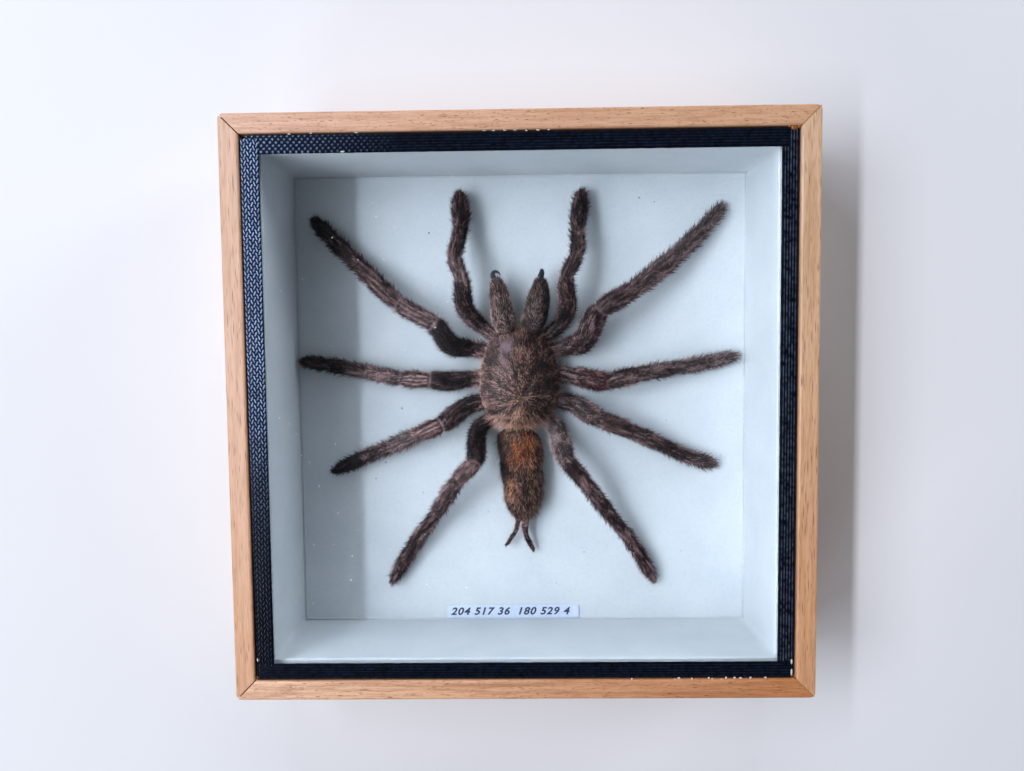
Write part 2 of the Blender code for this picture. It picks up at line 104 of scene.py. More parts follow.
for name, (place, along, across, watts) in LAMPS.items():
    lamp_data = bpy.data.lights.new(name, "AREA")
    lamp_data.shape = "RECTANGLE"
    lamp_data.size, lamp_data.size_y = along, across
    lamp_data.energy = watts
    lamp_data.color = DAYLIGHT
    lamp = bpy.data.objects.new(name, lamp_data)
    lamp.location = place
    # The window's lamps stay parallel to the box's side, so that its shadow's edge is sharp
    aim = Vector((0, place[1] if name.startswith("window") else 0, 0))
    lamp.rotation_euler = (aim - lamp.location).to_track_quat("-Z", "Y").to_euler()
    # The weak lamps stand for soft light from all round, so the pane doesn't mirror them
    lamp.visible_glossy = name.startswith("window")
    bpy.context.scene.collection.objects.link(lamp)

surround = bpy.data.worlds.new("pale_surround")
surround.use_nodes = True
sky = surround.node_tree.nodes["Background"]
sky.inputs["Color"].default_value = (*DAYLIGHT, 1.0)
sky.inputs["Strength"].default_value = SKY_STRENGTH
bpy.context.scene.world = surround
print("lamps:", ", ".join(LAMPS))

# %% [markdown]
# ## Helpers for materials and meshes
#
# Colours are written as the sRGB hex values that an eye sees on a screen, and one function
# turns them to the linear values that the shader counts in. Another adds a node to any tree
# with its settings and links, so that a material reads as a list of what it is made of. The
# rest turn points, faces and edited meshes into pieces of the object.

# %% Helpers
def linear(hex_colour, alpha=1.0):
    """An sRGB hex colour as linear red, green, blue and alpha."""
    values = [int(hex_colour[i : i + 2], 16) / 255 for i in (1, 3, 5)]
    return (*[v / 12.92 if v <= 0.04045 else ((v + 0.055) / 1.055) ** 2.4 for v in values], alpha)


# Short names for the kinds of node that come often, with the settings they are always given
KINDS = {
    "mix": ("ShaderNodeMix", {"data_type": "RGBA"}),
    "noise": ("ShaderNodeTexNoise", {}),
    "cells": ("ShaderNodeTexVoronoi", {}),
    "range": ("ShaderNodeMapRange", {}),
    "ramp": ("ShaderNodeValToRGB", {}),
    "bump": ("ShaderNodeBump", {}),
    "times": ("ShaderNodeMath", {"operation": "MULTIPLY"}),
    "scaled": ("ShaderNodeVectorMath", {"operation": "SCALE"}),
    "sum": ("ShaderNodeVectorMath", {"operation": "ADD"}),
    "random": ("FunctionNodeRandomValue", {"data_type": "FLOAT"}),
    "carried": ("GeometryNodeInputNamedAttribute", {"data_type": "FLOAT"}),
    "stored": ("GeometryNodeStoreNamedAttribute", {"data_type": "FLOAT"}),
}


def wire(node, *values, **named):
    """Sets inputs, in order or by name, to a value, socket, node, hex colour or carried mask."""
    tree = node.id_data
    free = [socket for socket in node.inputs if socket.enabled]
    pairs = list(zip(free, values))
    for name, value in named.items():
        pairs.append((next(s for s in free if s.name == name.replace("_", " ")), value))
    for socket, value in pairs:
        if isinstance(value, str) and value.startswith("#"):
            value = linear(value)
        elif isinstance(value, str) and socket.type != "STRING":
            value = add_node(tree, "ShaderNodeAttribute", attribute_name=value).outputs["Fac"]
        elif isinstance(value, bpy.types.Node):
            value = next(s for s in value.outputs if s.enabled)
        if isinstance(value, bpy.types.NodeSocket):
            tree.links.new(value, socket)
        else:
            socket.default_value = value


def add_node(tree, kind, *values, stops=(), **named):
    """Adds a node. Capitalised names are inputs, others settings, stops a ramp's colours."""
    kind, settings = KINDS.get(kind, (kind, {}))
    node = tree.nodes.new(kind)
    inputs = {name: value for name, value in named.items() if name[0].isupper()}
    for name, value in {**settings, **named}.items():
        if name not in inputs:
            setattr(node, name, value)
    for number, (place, colour) in enumerate(stops):
        ramp = node.color_ramp
        stop = ramp.elements[number] if number < 2 else ramp.elements.new(place)
        stop.position, stop.color = place, linear(colour)
    wire(node, *values, **inputs)
    return node


def new_material(name, **inputs):
    """A material, its one Principled shader with plain inputs, and what adds nodes to it."""
    material = bpy.data.materials.new(name)
    material.use_nodes = True
    shader = material.node_tree.nodes["Principled BSDF"]
    wire(shader, **inputs)
    return material, shader, functools.partial(add_node, material.node_tree)


def in_mm(add, size=1, shift=(0, 0, 0)):
    """Object coordinates in millimetres, divided by a pattern's size or its three sizes."""
    sizes = size if isinstance(size, tuple) else (size, size, size)
    place = add("ShaderNodeTexCoord").outputs["Object"]
    return add("ShaderNodeMapping", place, Scale=[1 / MM / s for s in sizes], Location=shift)


def two_tone(name, size, low, high, **inputs):
    """A material of one colour that drifts to another, in soft patches of a size in mm."""
    material, shader, add = new_material(name, **inputs)
    patch = add("noise", in_mm(add, size), Scale=1.0)
    wire(shader, Base_Color=add("mix", patch, low, high))
    return material


def paint(piece, **masks):
    """Stores values on a piece's points: a number or a direction for each."""
    for name, values in masks.items():
        values = np.asarray(values, dtype=np.float32)
        kind, field = ("FLOAT_VECTOR", "vector") if values.ndim == 2 else ("FLOAT", "value")
        layer = piece.data.attributes.new(name, kind, "POINT")
        layer.data.foreach_set(field, values.ravel())


def placed(name, mesh):
    """An object for a mesh, in the scene."""
    piece = bpy.data.objects.new(name, mesh)
    bpy.context.scene.collection.objects.link(piece)
    return piece


def from_bmesh(name, shape, smooth=True):
    """A piece from a mesh that was being edited."""
    mesh = bpy.data.meshes.new(name)
    shape.to_mesh(mesh)
    shape.free()
    mesh.polygons.foreach_set("use_smooth", [smooth] * len(mesh.polygons))
    return placed(name, mesh)


def mesh_object(name, points, faces, smooth=True):
    """A closed mesh from points in metres and faces, with its faces turned outwards."""
    draft = bpy.data.meshes.new("draft")
    draft.from_pydata([tuple(p) for p in points], [], faces)
    shape = bmesh.new()
    shape.from_mesh(draft)
    bpy.data.meshes.remove(draft)
    bmesh.ops.recalc_face_normals(shape, faces=shape.faces)
    return from_bmesh(name, shape, smooth)


def ring_faces(count, around, tips):
    """Quads between a row of rings, and triangles from a ring to a point, for each in tips."""
    faces = [(i * around + j, i * around + (j + 1) % around, (i + 1) * around + (j + 1) % around,
              (i + 1) * around + j) for i in range(count - 1) for j in range(around)]
    return faces + [(ring * around + j, ring * around + (j + 1) % around, point)
                    for j in range(around) for ring, point in tips]


def dress(piece, material):
    """Puts one material in place of a piece's own."""
    piece.data.materials.clear()
    piece.data.materials.append(material)


def finish_piece(piece, material, slot, *replaced):
    """Gives a piece its material, puts it under the root and hides the CAD nodes it stands for; slot is not
    used.
    """
    if material is not None:
        dress(piece, material)
    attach(piece, "root")
    if replaced:
        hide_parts(*replaced)
    print(f"{piece.name}: {len(piece.data.polygons)} faces")


def bump(value, reach):
    """1 at no distance, falling smoothly to almost nothing at twice the reach."""
    return np.exp(-((value / reach) ** 2))


def roughness_of(points, size, seed):
    """Smooth noise from -1 to 1 at each point in mm, with lumps of a size in mm."""
    shift = Vector((7.3, 1.9, 4.1)) * seed
    return np.array([noise.noise(Vector(p) / size + shift) for p in points])


def noise_along(spots, size, *place):
    """Smooth noise from -1 to 1 along a line of spots in mm."""
    return np.array([noise.noise(Vector((spot / size, *place))) for spot in spots])


def roughen(skin, points, *layers):
    """Moves a skin's points, given in mm, along its normals by layers of depth, size and seed."""
    normals = np.array([v.normal for v in skin.data.vertices])
    rough = sum(depth * roughness_of(points, size, seed) for depth, size, seed in layers)
    skin.data.vertices.foreach_set("co", ((points + normals * rough[:, None]) * MM).ravel())


# %% [markdown]
# ## The pale floor
#
# A plain pale table top carries the box. It is part of the stage and not of the object.

# %% The stage
TABLE_REACH, TABLE_DROP = 2, -2e-5  # metres
SQUARE = ((-1, -1), (1, -1), (1, 1), (-1, 1))
floor = mesh_object("studio_floor", [(x * TABLE_REACH, y * TABLE_REACH, TABLE_DROP) for x, y in SQUARE],
                    [(0, 1, 2, 3)], smooth=False)
dress(floor, two_tone("matt_pale_floor", 90, "#ececea", "#f3f3f1", Roughness=0.7))

# %% [markdown]
# ## Wood strips
#
# The strips are a pale tropical hardwood, planed and thinly varnished. Its look is in three
# things: soft bands of lighter and darker tan, a change of tone from one end to the other,
# and short dark pores, cut lengthwise, a quarter of a millimetre wide and some millimetres
# long. Bands and pores are noise that is stretched along the strip. The varnish gives a broad
# sheen, and each strip's end tones also hold painted sheen of the window, which is why the
# strips nearest the window look paler.

# %% Wood
HALF_BOX = 76.0
PORE = "#7e4527"


def planed_wood(name, upright, shift, start, end, dark, pore_length):
    """Hardwood whose tone, partly painted sheen of the window, goes from start to end along the strip, in +X
    or, upright, in +Y.
    """
    material, shader, add = new_material(name, IOR=1.5, Coat_Weight=0.5, Coat_Roughness=0.42)

    def stretched(length, width):
        return in_mm(add, (width, length, width) if upright else (length, width, width), shift)

    axes = add("ShaderNodeSeparateXYZ", in_mm(add))
    place = add("range", axes.outputs["Y" if upright else "X"], From_Min=-HALF_BOX, From_Max=HALF_BOX)
    # The tone between the strip's two ends is partly the wood's own and partly painted window sheen
    colour = add("mix", place, start, end)
    band = add("noise", stretched(30, 1.3), Scale=1.0, Detail=5.0, Roughness=0.6, Distortion=0.3)
    fibre = add("noise", stretched(5, 0.35), Scale=1.0, Detail=3.0)
    for layer, first, last, most in ((band, 0.44, 0.72, 0.55), (fibre, 0.45, 0.7, 0.5)):
        amount = add("range", layer, From_Min=first, From_Max=last, To_Min=0.0, To_Max=most)
        colour = add("mix", amount, colour, dark)
    for size in (1.0, 0.6):
        pore = add("cells", stretched(pore_length * size, 0.5 * size), Scale=1.0)
        depth = add("range", pore.outputs["Distance"], From_Min=0.12, From_Max=0.27, To_Min=0.95, To_Max=0.0)
        own = add("ShaderNodeSeparateColor", pore.outputs["Color"]).outputs["Red"]
        opened = add("times", depth, own)
        colour = add("mix", opened, colour, PORE)
    height = add("ShaderNodeMath", amount, opened, operation="ADD")
    relief = add("bump", Height=height, Strength=0.3, Distance=0.05 * MM, invert=True)
    shine = add("range", band, To_Min=0.4, To_Max=0.58)
    wire(shader, Base_Color=colour, Normal=relief, Roughness=shine)
    return material


# Each strip: whether it is upright, its pattern's shift, its tone at both ends (the wood's own
# tone with painted sheen of the window in it), its dark bands' colour and how long its pores are
WOODS = {
    "top": (False, (0, 0, 0), "#ebba98", "#dfae86", "#b67a50", 2.6),
    "right": (True, (3, 9, 2), "#e4a878", "#e8c29d", "#b58153", 8.5),
    "bottom": (False, (5, 2, 7), "#fdcca3", "#cc8755", "#a0602f", 3.2),
    "left": (True, (8, 4, 1), "#e9af82", "#e6bc9c", "#c1885b", 9.0),
}
for side, wood in WOODS.items():
    dress(nodes["frame_" + side], planed_wood("pale_hardwood_" + side, *wood))
print("strips:", ", ".join(WOODS))

# %% [markdown]
# ## Glue in the mitres
#
# The strips meet on saw cuts that were glued and wiped. On the right the glue fills the cut
# up to the top, and only the change of grain shows it. On the left it has shrunk or cracked
# out, and a dark line is left. Each filler is a thin upright wedge in the cut.

# %% Mitre glue
WOOD_INSIDE, WOOD_OUTSIDE = 71.0, 76.2
GLUE_TOP = {"top_right": 37.93, "bottom_right": 37.95, "bottom_left": 36.6, "top_left": 36.2}
GLUE_FOOT = 0.4
GLUE_HALF_WIDTH = 0.142
GLUE = two_tone("dried_wood_glue", 1.2, "#b07a4c", "#d6a678", Roughness=0.6)
for corner, glue_top in GLUE_TOP.items():
    away = np.array([1 if "right" in corner else -1, 1 if "top" in corner else -1])
    aside = np.array([away[1], -away[0]]) / math.sqrt(2) * GLUE_HALF_WIDTH
    spots = np.linspace(WOOD_INSIDE + 0.15, WOOD_OUTSIDE - 0.4, 9)
    section = [(*(away * spot + side * aside), z)
               for z in (GLUE_FOOT, glue_top) for side in (-1, 1) for spot in spots]
    ragged = [(x, y, z if z < 1 else z - 0.25 * abs(noise.noise(Vector((x, y, 0.5)))))
              for x, y, z in section]
    n = len(spots)
    faces = []
    for k in range(n - 1):
        faces += [(k, k + 1, n + k + 1, n + k), (2 * n + k, 3 * n + k, 3 * n + k + 1, 2 * n + k + 1),
                  (k, 2 * n + k, 2 * n + k + 1, k + 1), (n + k, n + k + 1, 3 * n + k + 1, 3 * n + k)]
    faces += [(0, n, 3 * n, 2 * n), (n - 1, 3 * n - 1, 4 * n - 1, 2 * n - 1)]
    wedge = mesh_object("mitre_glue_" + corner, np.array(ragged) * MM, faces, smooth=False)
    finish_piece(wedge, GLUE, "pale_wood")

# %% [markdown]
# ## Backing board
#
# The back is closed by a thin grey-brown board, pressed from wood fibre. It is seen only
# from behind: matt, with short fibres lying every way.

# %% Board
def pressed_board():
    material, shader, add = new_material("pressed_fibre_board", Roughness=0.85)
    flake = add("noise", in_mm(add), Scale=0.9, Detail=6.0)
    relief = add("bump", Height=flake, Strength=0.4, Distance=0.1 * MM)
    colour = add("ramp", flake, stops=((0.3, "#6d5844"), (0.7, "#a58c70")))
    wire(shader, Base_Color=colour, Normal=relief)
    return material


dress(nodes["back_panel"], pressed_board())

# %% [markdown]
# ## White paper lining
#
# The floor board and the card walls are covered with one white paper, which turns softly
# from the floor into the walls. A row of square rings makes it: they run down the walls,
# round the crease and across the floor, and each point is moved a little for the paper's
# waves. The sheet then gets its thickness. Paper is matt, with a fine tooth and a few
# faint stains.

# %% Paper
def white_paper(name, pale, dull):
    material, shader, add = new_material(name, Roughness=0.8, IOR=1.47)
    cloud = add("noise", in_mm(add, 16), Scale=1.0, Detail=4.0, Roughness=0.6)
    colour = add("mix", add("range", cloud, From_Min=0.35, From_Max=0.75), pale, dull)
    speck = add("cells", in_mm(add, 5.5), Scale=1.0).outputs["Distance"]
    fibre = add("noise", in_mm(add, 0.9), Scale=1.0, Detail=4.0, Roughness=0.7)
    for layer, first, last, least, most, tint in ((speck, 0.02, 0.045, 0.4, 0.0, "#6f7478"),
                                                  (fibre, 0.5, 0.75, 0.0, 0.42, "#9aa0a6")):
        amount = add("range", layer, From_Min=first, From_Max=last, To_Min=least, To_Max=most)
        colour = add("mix", amount, colour, tint)
    tooth = add("noise", in_mm(add, 0.35), Scale=1.0, Detail=3.0)
    relief = add("bump", Height=tooth, Strength=0.4, Distance=0.03 * MM)
    wire(shader, Base_Color=colour, Normal=relief)
    return material


PAPER = white_paper("white_lining_paper", "#bfc3c6", "#b5babf")
for node in ("mounting_board", "liner_top", "liner_right", "liner_bottom", "liner_left"):
    dress(nodes[node], PAPER)

# %% The lining's sheet
WALL_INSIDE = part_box("liner_right")[0].x / MM
WALL_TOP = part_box("liner_right")[1].z / MM
FLOOR_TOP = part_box("mounting_board")[1].z / MM
PAPER_THICKNESS = 0.1
CREASE = 0.42
WALL_LIP, FLOOR_LIP = 0.04, 0.17


def lining_profile():
    """Half-width and height of each square ring, from the top of the walls to the middle."""
    half = WALL_INSIDE - 0.02 - PAPER_THICKNESS
    base = FLOOR_TOP + 0.02 + PAPER_THICKNESS
    rows = [(half, z) for z in np.linspace(WALL_TOP - 0.05, base + CREASE + 0.5, 16)]
    for share in np.linspace(0, 1, 9):
        hollow = 0.28 * math.sin(math.pi * share)
        rows.append((half - CREASE * share + hollow * 0.7, base + CREASE * (1 - share) - hollow * 0.7))
    # The fold's two edges stand up a little, as thin lips that catch the light
    rows[-9] = (rows[-9][0] - WALL_LIP, rows[-9][1])
    rows[-1] = (rows[-1][0], rows[-1][1] + FLOOR_LIP)
    rows += [(half - CREASE - w, base) for w in (0.35, 0.8)]
    rows += [(w, base) for w in np.linspace(half - CREASE - 0.8, 0, 36)[1:-1]]
    return rows, base


def add_lining(per_side=64):
    rows, base = lining_profile()
    steps = np.linspace(-1, 1, per_side, endpoint=False)
    square = [(t, -1) for t in steps] + [(1, t) for t in steps]
    square += [(-t, 1) for t in steps] + [(-1, -t) for t in steps]
    rings = np.array([[(x * w, y * w, z) for x, y in square] for w, z in rows])
    flat = rings.reshape(-1, 3)
    wave = 0.07 * roughness_of(flat, 21, 1) + 0.03 * roughness_of(flat, 6, 2)
    on_floor = np.clip(1 - (flat[:, 2] - base) / 2, 0, 1)
    inwards = np.zeros_like(flat)
    side_x = np.abs(flat[:, 0]) > np.abs(flat[:, 1])
    inwards[:, 0] = np.where(side_x, -np.sign(flat[:, 0]), 0)
    inwards[:, 1] = np.where(side_x, 0, -np.sign(flat[:, 1]))
    flat += inwards * ((1 - on_floor) * np.abs(wave))[:, None]
    flat[:, 2] += on_floor * np.clip(wave, -0.01, 0.06)
    faces = ring_faces(len(rows), len(square), [(len(rows) - 1, len(flat))])
    sheet = mesh_object("paper_lining", np.vstack([flat, [[0, 0, base]]]) * MM, faces)
    if sheet.data.polygons[len(faces) - 1].normal.z < 0:
        sheet.data.flip_normals()
    solid = sheet.modifiers.new("paper thickness", "SOLIDIFY")
    solid.thickness = PAPER_THICKNESS * MM
    solid.offset = -1
    finish_piece(sheet, PAPER, "white_card")


add_lining()

# %% [markdown]
# ## Glass
#
# The pane is 2 mm float glass, quite clear. Its CAD solid is right, so it stays. Real
# glass lets the lamp's light through, but a renderer treats a pane as a shadow unless the
# shader lets shadow rays pass, which is the one trick here.

# %% Pane
def float_glass():
    material, shader, add = new_material("clear_float_glass", Roughness=0.0, IOR=1.5,
                                         Transmission_Weight=1.0)
    tint = add("noise", in_mm(add, 60), Scale=1.0)
    wire(shader, Base_Color=add("mix", tint, "#fbfdfd", "#f7fbfa"))
    shadow = add("ShaderNodeLightPath").outputs["Is Shadow Ray"]
    clear = add("ShaderNodeBsdfTransparent", "#f7faf9")
    both = add("ShaderNodeMixShader", shadow, shader, clear)
    wire(material.node_tree.nodes["Material Output"], Surface=both)
    return material


dress(nodes["glass"], float_glass())

# %% [markdown]
# ## Binding tape
#
# Black leathercloth tape, pressed with a pattern like a coarse weave, holds the pane. It
# lies on the rim of the glass and is folded down into the slot beside the wood. Each strip
# is one sheet: a grid that follows the flat, the fold and the turned-down part, with the
# pattern as real relief, closed by an underside. On the left strip's upper half the pattern
# is a clear lattice of slanted pads, which fades towards the bottom. On the top strip it is
# dots that fade to the right, and the other two have only fine lengthwise lines left. Where
# the pads are strong, their tops are painted pale as glints of the window and the ground is
# painted with the window's blue sheen; the fine lines carry a faint painted glint too. The
# strips overlap at the corners as the photograph shows, each lap a little higher than what
# it covers.

# %% Leathercloth
def leathercloth():
    material, shader, add = new_material("pressed_black_leathercloth", IOR=1.5, Specular_IOR_Level=0.08)
    patch = add("noise", in_mm(add, 2.2), Scale=1.0, Detail=4.0)
    cloth = add("ramp", patch, stops=((0.3, "#060910"), (0.75, "#0f1524")))
    # The pads' tops and lines are painted pale blue-white as the window's glints, and the ground is painted
    # with the window's blue sheen
    colour = add("mix", "raised", add("mix", "sheen", cloth, "#0a2044"), "#bdd0e8")
    shine = add("range", "raised", To_Min=0.2, To_Max=0.35)
    grain = add("noise", in_mm(add, 0.3), Scale=1.0)
    relief = add("bump", Height=grain, Strength=0.2, Distance=0.02 * MM)
    wire(shader, Base_Color=colour, Roughness=shine, Normal=relief)
    return material


LEATHERCLOTH = leathercloth()
SIDE_TURN = {"top": 0, "right": -90, "bottom": 180, "left": 90}
PAD_LENGTH, PAD_WIDTH, PAD_HEIGHT = 1.5, 0.79, 0.06
PAD_SLANT = 0.7
DOT_REACH = 0.34
LINE_SPACING, LINE_HEIGHT = 0.72, 0.035
TAPE_STEP = 0.15
TAPE_FOLD_RADIUS = 0.45
TAPE_THICKNESS = 0.22
ALL_PLAIN = ((0, 0.0),)

# Each strip: from and to along its side, how far its laps lift it, whether its pads are dots,
# how strong they, their painted glint and their painted sheen are at some places along it,
# how strong the painted glint on its fine lines is, and how much of the pads' relief is left
# where they carry no painted glint. Along a side, a strip runs to the right as seen when that
# side is turned to the top.
TAPES = {
    "top": (-69.2, 68.4, 0.10, True, ((-66, 0.5), (-54, 0.3), (-42, 0.12), (-30, 0.0)), 0.02, 0.0),
    "right": (-70.4, 70.3, 0.0, False, ALL_PLAIN, 0.12, 0.0),
    "bottom": (-69.9, 70.2, 0.18, False, ALL_PLAIN, 0.02, 0.0),
    "left": (-70.0, 69.8, 0.18, False,
             ((-52, 0.0), (-34, 0.05), (-17, 0.22), (-4, 0.65), (20, 1.0)), 0.0, 0.5),
}

# %% Tape strips
def tape_profile(side):
    """The strip's section as (out from the middle, height), from the pane to the slot."""
    low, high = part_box("tape_" + side)
    turned = Matrix.Rotation(-math.radians(SIDE_TURN[side]), 4, "Z")
    spans = [turned @ corner for corner in (low, high)]
    glass_side = min(p.y for p in spans) / MM
    outside = max(p.y for p in spans) / MM - 0.02
    top = high.z / MM
    radius = TAPE_FOLD_RADIUS
    rows = [(y, top) for y in np.arange(glass_side, outside - radius, TAPE_STEP)]
    rows += [(outside - radius * (1 - math.cos(a)), top - radius * (1 - math.sin(a)))
             for a in np.radians(np.linspace(90, 0, 5))]
    rows += [(outside, z) for z in np.linspace(top - radius, low.z / MM, 8)[1:]]
    return rows


def pads(along, across, dotted):
    """A lattice of dots or of slim slanted pads: 0 in the grooves and 1 on their tops."""
    row = np.floor(across / PAD_WIDTH)
    u = (along / PAD_LENGTH + 0.5 * row) % 1.0 - 0.5
    v = (across / PAD_WIDTH) % 1.0 - 0.5
    if dotted:
        return np.clip((DOT_REACH - np.hypot(u * PAD_LENGTH, v * PAD_WIDTH)) / 0.14, 0, 1)
    aside = v - PAD_SLANT * u * np.where(row % 2 > 0, 1, -1)
    return np.clip(2.0 - 4.4 * np.maximum(np.abs(u), np.abs(aside) * 2.3), 0, 1)


def add_tape(side, start, stop, lift, dotted, pad_strengths, line_glint, pressed):
    rows = tape_profile(side)
    y, z = np.array(rows).T
    along = np.arange(start, stop + TAPE_STEP / 2, TAPE_STEP)
    travel = np.concatenate([[0], np.cumsum(np.hypot(np.diff(y), np.diff(z)))])
    length = np.hypot(np.gradient(y), np.gradient(z))
    normal_y, normal_z = -np.gradient(z) / length, np.gradient(y) / length
    s, x = np.meshgrid(travel, along, indexing="ij")
    seed = len(side) * 7

    # The pattern: pads where it is strong or pressed deep, and fine lines where it isn't
    wear = noise_along(along, 3.1, lift * 31, seed)[None, :]
    strength = np.clip(np.interp(x, *np.array(pad_strengths).T) * (1 + 0.25 * wear), 0, 1)
    bump_up = pads(x + 0.1 * np.sin(s * 2), s + 0.05 * np.sin(x / 5), dotted)
    lines = 0.5 + 0.5 * np.cos(2 * math.pi * s / LINE_SPACING)
    relief = PAD_HEIGHT * np.maximum(strength, pressed) * bump_up
    relief = relief + LINE_HEIGHT * (1 - strength) * lines * (pressed == 0)
    edge = np.clip(np.minimum(np.minimum(x - start, stop - x), s) / 0.35, 0, 1)
    relief = relief * edge - 0.05 * (1 - edge)

    # The sheet: a top with the pattern, an underside, and a rim between them
    ragged = (0.07 * noise_along(along, 2.3, lift * 40, seed) - 0.12)[None, :] * (s < 0.01)
    sides = [np.stack([x, y[:, None] + normal_y[:, None] * rise + shift,
                       z[:, None] + normal_z[:, None] * rise + lift], -1).reshape(-1, 3)
             for rise, shift in ((relief, ragged), (0 * x - TAPE_THICKNESS, 0))]
    turn = np.array(Matrix.Rotation(math.radians(SIDE_TURN[side]), 3, "Z"))
    rings, count = x.shape
    size = rings * count
    faces = []
    for i in range(rings - 1):
        for j in range(count - 1):
            a = i * count + j
            quad = (a, a + 1, a + count + 1, a + count)
            faces += [quad, tuple(size + v for v in reversed(quad))]
    rim = [i * count for i in range(rings)] + [(rings - 1) * count + j for j in range(1, count)]
    rim += [i * count + count - 1 for i in range(rings - 2, -1, -1)] + list(range(count - 2, 0, -1))
    faces += [(a, b, size + b, size + a) for a, b in zip(rim, rim[1:] + rim[:1])]
    tape = mesh_object("binding_tape_" + side, np.vstack(sides) @ turn.T * MM, faces)

    # Painted glints of the window: the pads' tops and the lines are painted pale, on the flat part only, and
    # the ground gets a painted sheen where the pads are strong
    flat_part = (s < rows[-8][0] - rows[0][0]) * (s > 0.12)
    blotch = roughness_of(np.stack([x, s, 0 * s], -1).reshape(-1, 3), 0.9, seed).reshape(x.shape)
    tops = np.clip((bump_up - 0.25) * 2, 0, 1) * strength * np.clip(0.85 + 0.8 * blotch, 0.2, 1.2)
    painted_line_glint = line_glint * lines**3 * np.clip(0.7 + 1.2 * blotch, 0, 1.5)
    raised = np.clip(np.maximum(tops, painted_line_glint) * flat_part, 0, 1)
    paint(tape, **{name: np.concatenate([values.ravel(), np.zeros(size)])
                   for name, values in (("raised", raised), ("sheen", strength * flat_part))})
    finish_piece(tape, LEATHERCLOTH, "black_binding", "tape_" + side)


for side, layout in TAPES.items():
    add_tape(side, *layout)

# %% [markdown]
# ## Specks of glue
#
# White glue was squeezed out along the lower tape and dried in drops, and a brown drop sits
# on the tape's end in the top right corner. They are small flattened balls, no two alike.

# %% Glue drops
def add_drops(name, drops, material, slot):
    """Drops as one mesh, each given as x, y, z and its width, depth and height in mm."""
    shape = bmesh.new()
    for number, (x, y, z, width, depth, height) in enumerate(drops):
        made = bmesh.ops.create_icosphere(shape, subdivisions=2, radius=0.5)
        for vertex in made["verts"]:
            swell = 1 + 0.35 * noise.noise(vertex.co * 2.5 + Vector((number * 3.7, 0, 0)))
            vertex.co = Vector((x + vertex.co.x * width * swell, y + vertex.co.y * depth * swell,
                                z + vertex.co.z * height * swell)) * MM
    finish_piece(from_bmesh(name, shape), material, slot)


LOWER_DROPS = (28.3, 30.9, 39.5, 40.6, 44.0, 48.4, 49.3, 51.7, 52.9, 55.1, 56.7, 59.3, 63.2)
UPPER_DROPS = (-58.0, -52.4, -41.0, -8.5, -6.2, -3.4, -0.8, 2.1, 5.0, 7.7)
WHITE_DROPS = [(x, -71.0 + 0.25 * math.sin(3 * x), 37.55, 0.5 + 0.35 * abs(math.sin(7 * x)), 0.55, 0.35)
               for x in LOWER_DROPS]
WHITE_DROPS += [(x, 70.9 + 0.1 * math.sin(5 * x), 37.4, 0.7 + 0.5 * abs(math.sin(9 * x)), 0.35, 0.3)
                for x in UPPER_DROPS]
WHITE_DROPS += [(69.9, -66.5, 37.6, 0.5, 1.4, 0.3), (69.9, -69.3, 37.6, 0.5, 2.0, 0.3),
                (-44.6, 66.2, 37.5, 1.1, 0.4, 0.3), (-70.2, -65.4, 37.6, 0.35, 1.0, 0.3)]
BROWN_DROPS = [(69.4, 70.6, 37.35, 2.1, 1.5, 0.9), (70.6, 70.9, 37.3, 1.2, 1.2, 0.8),
               (68.2, 71.0, 37.3, 1.2, 0.8, 0.6)]
for name, drops, glue, low, high in (
    ("white_glue_specks", WHITE_DROPS, "dried_white_glue", "#b9b4ac", "#f2f0ea"),
    ("brown_glue_drop", BROWN_DROPS, "dried_brown_glue", "#5a2c14", "#b5713c"),
):
    add_drops(name, drops, two_tone(glue, 0.8, low, high, Roughness=0.3, IOR=1.48), "black_binding")

# %% [markdown]
# ## Label
#
# A slip of bluish-white paper lies on the floor below the spider. What is printed on the
# real one is left off; plain numbers in the same dark slanting print stand in its place.

# %% Slip
LABEL_LOW, LABEL_HIGH = (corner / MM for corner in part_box("label"))
SLIP_THICKNESS, SLIP_LIFT = 0.12, 0.12
PRINT_HEIGHT, PRINT_SLANT = 3.1, 0.28
INK = two_tone("dark_printing_ink", 0.4, "#10142c", "#2a3050", Roughness=0.6)


def add_label():
    shape = bmesh.new()
    bmesh.ops.create_grid(shape, x_segments=60, y_segments=8, size=0.5)
    size, middle = LABEL_HIGH - LABEL_LOW, (LABEL_HIGH + LABEL_LOW) / 2
    for vertex in shape.verts:
        x, y = vertex.co.x * size.x + middle.x, vertex.co.y * (size.y - 0.1) + middle.y
        lift = 0.05 * noise.noise(Vector((x / 9, y / 5, 3.0)))
        vertex.co = Vector((x, y, LABEL_LOW.z + SLIP_LIFT + lift)) * MM
    slip = from_bmesh("label_slip", shape)
    solid = slip.modifiers.new("paper thickness", "SOLIDIFY")
    solid.thickness = SLIP_THICKNESS * MM
    finish_piece(slip, white_paper("label_paper", "#c2cbdb", "#b6c1d4"), "label_paper", "label")


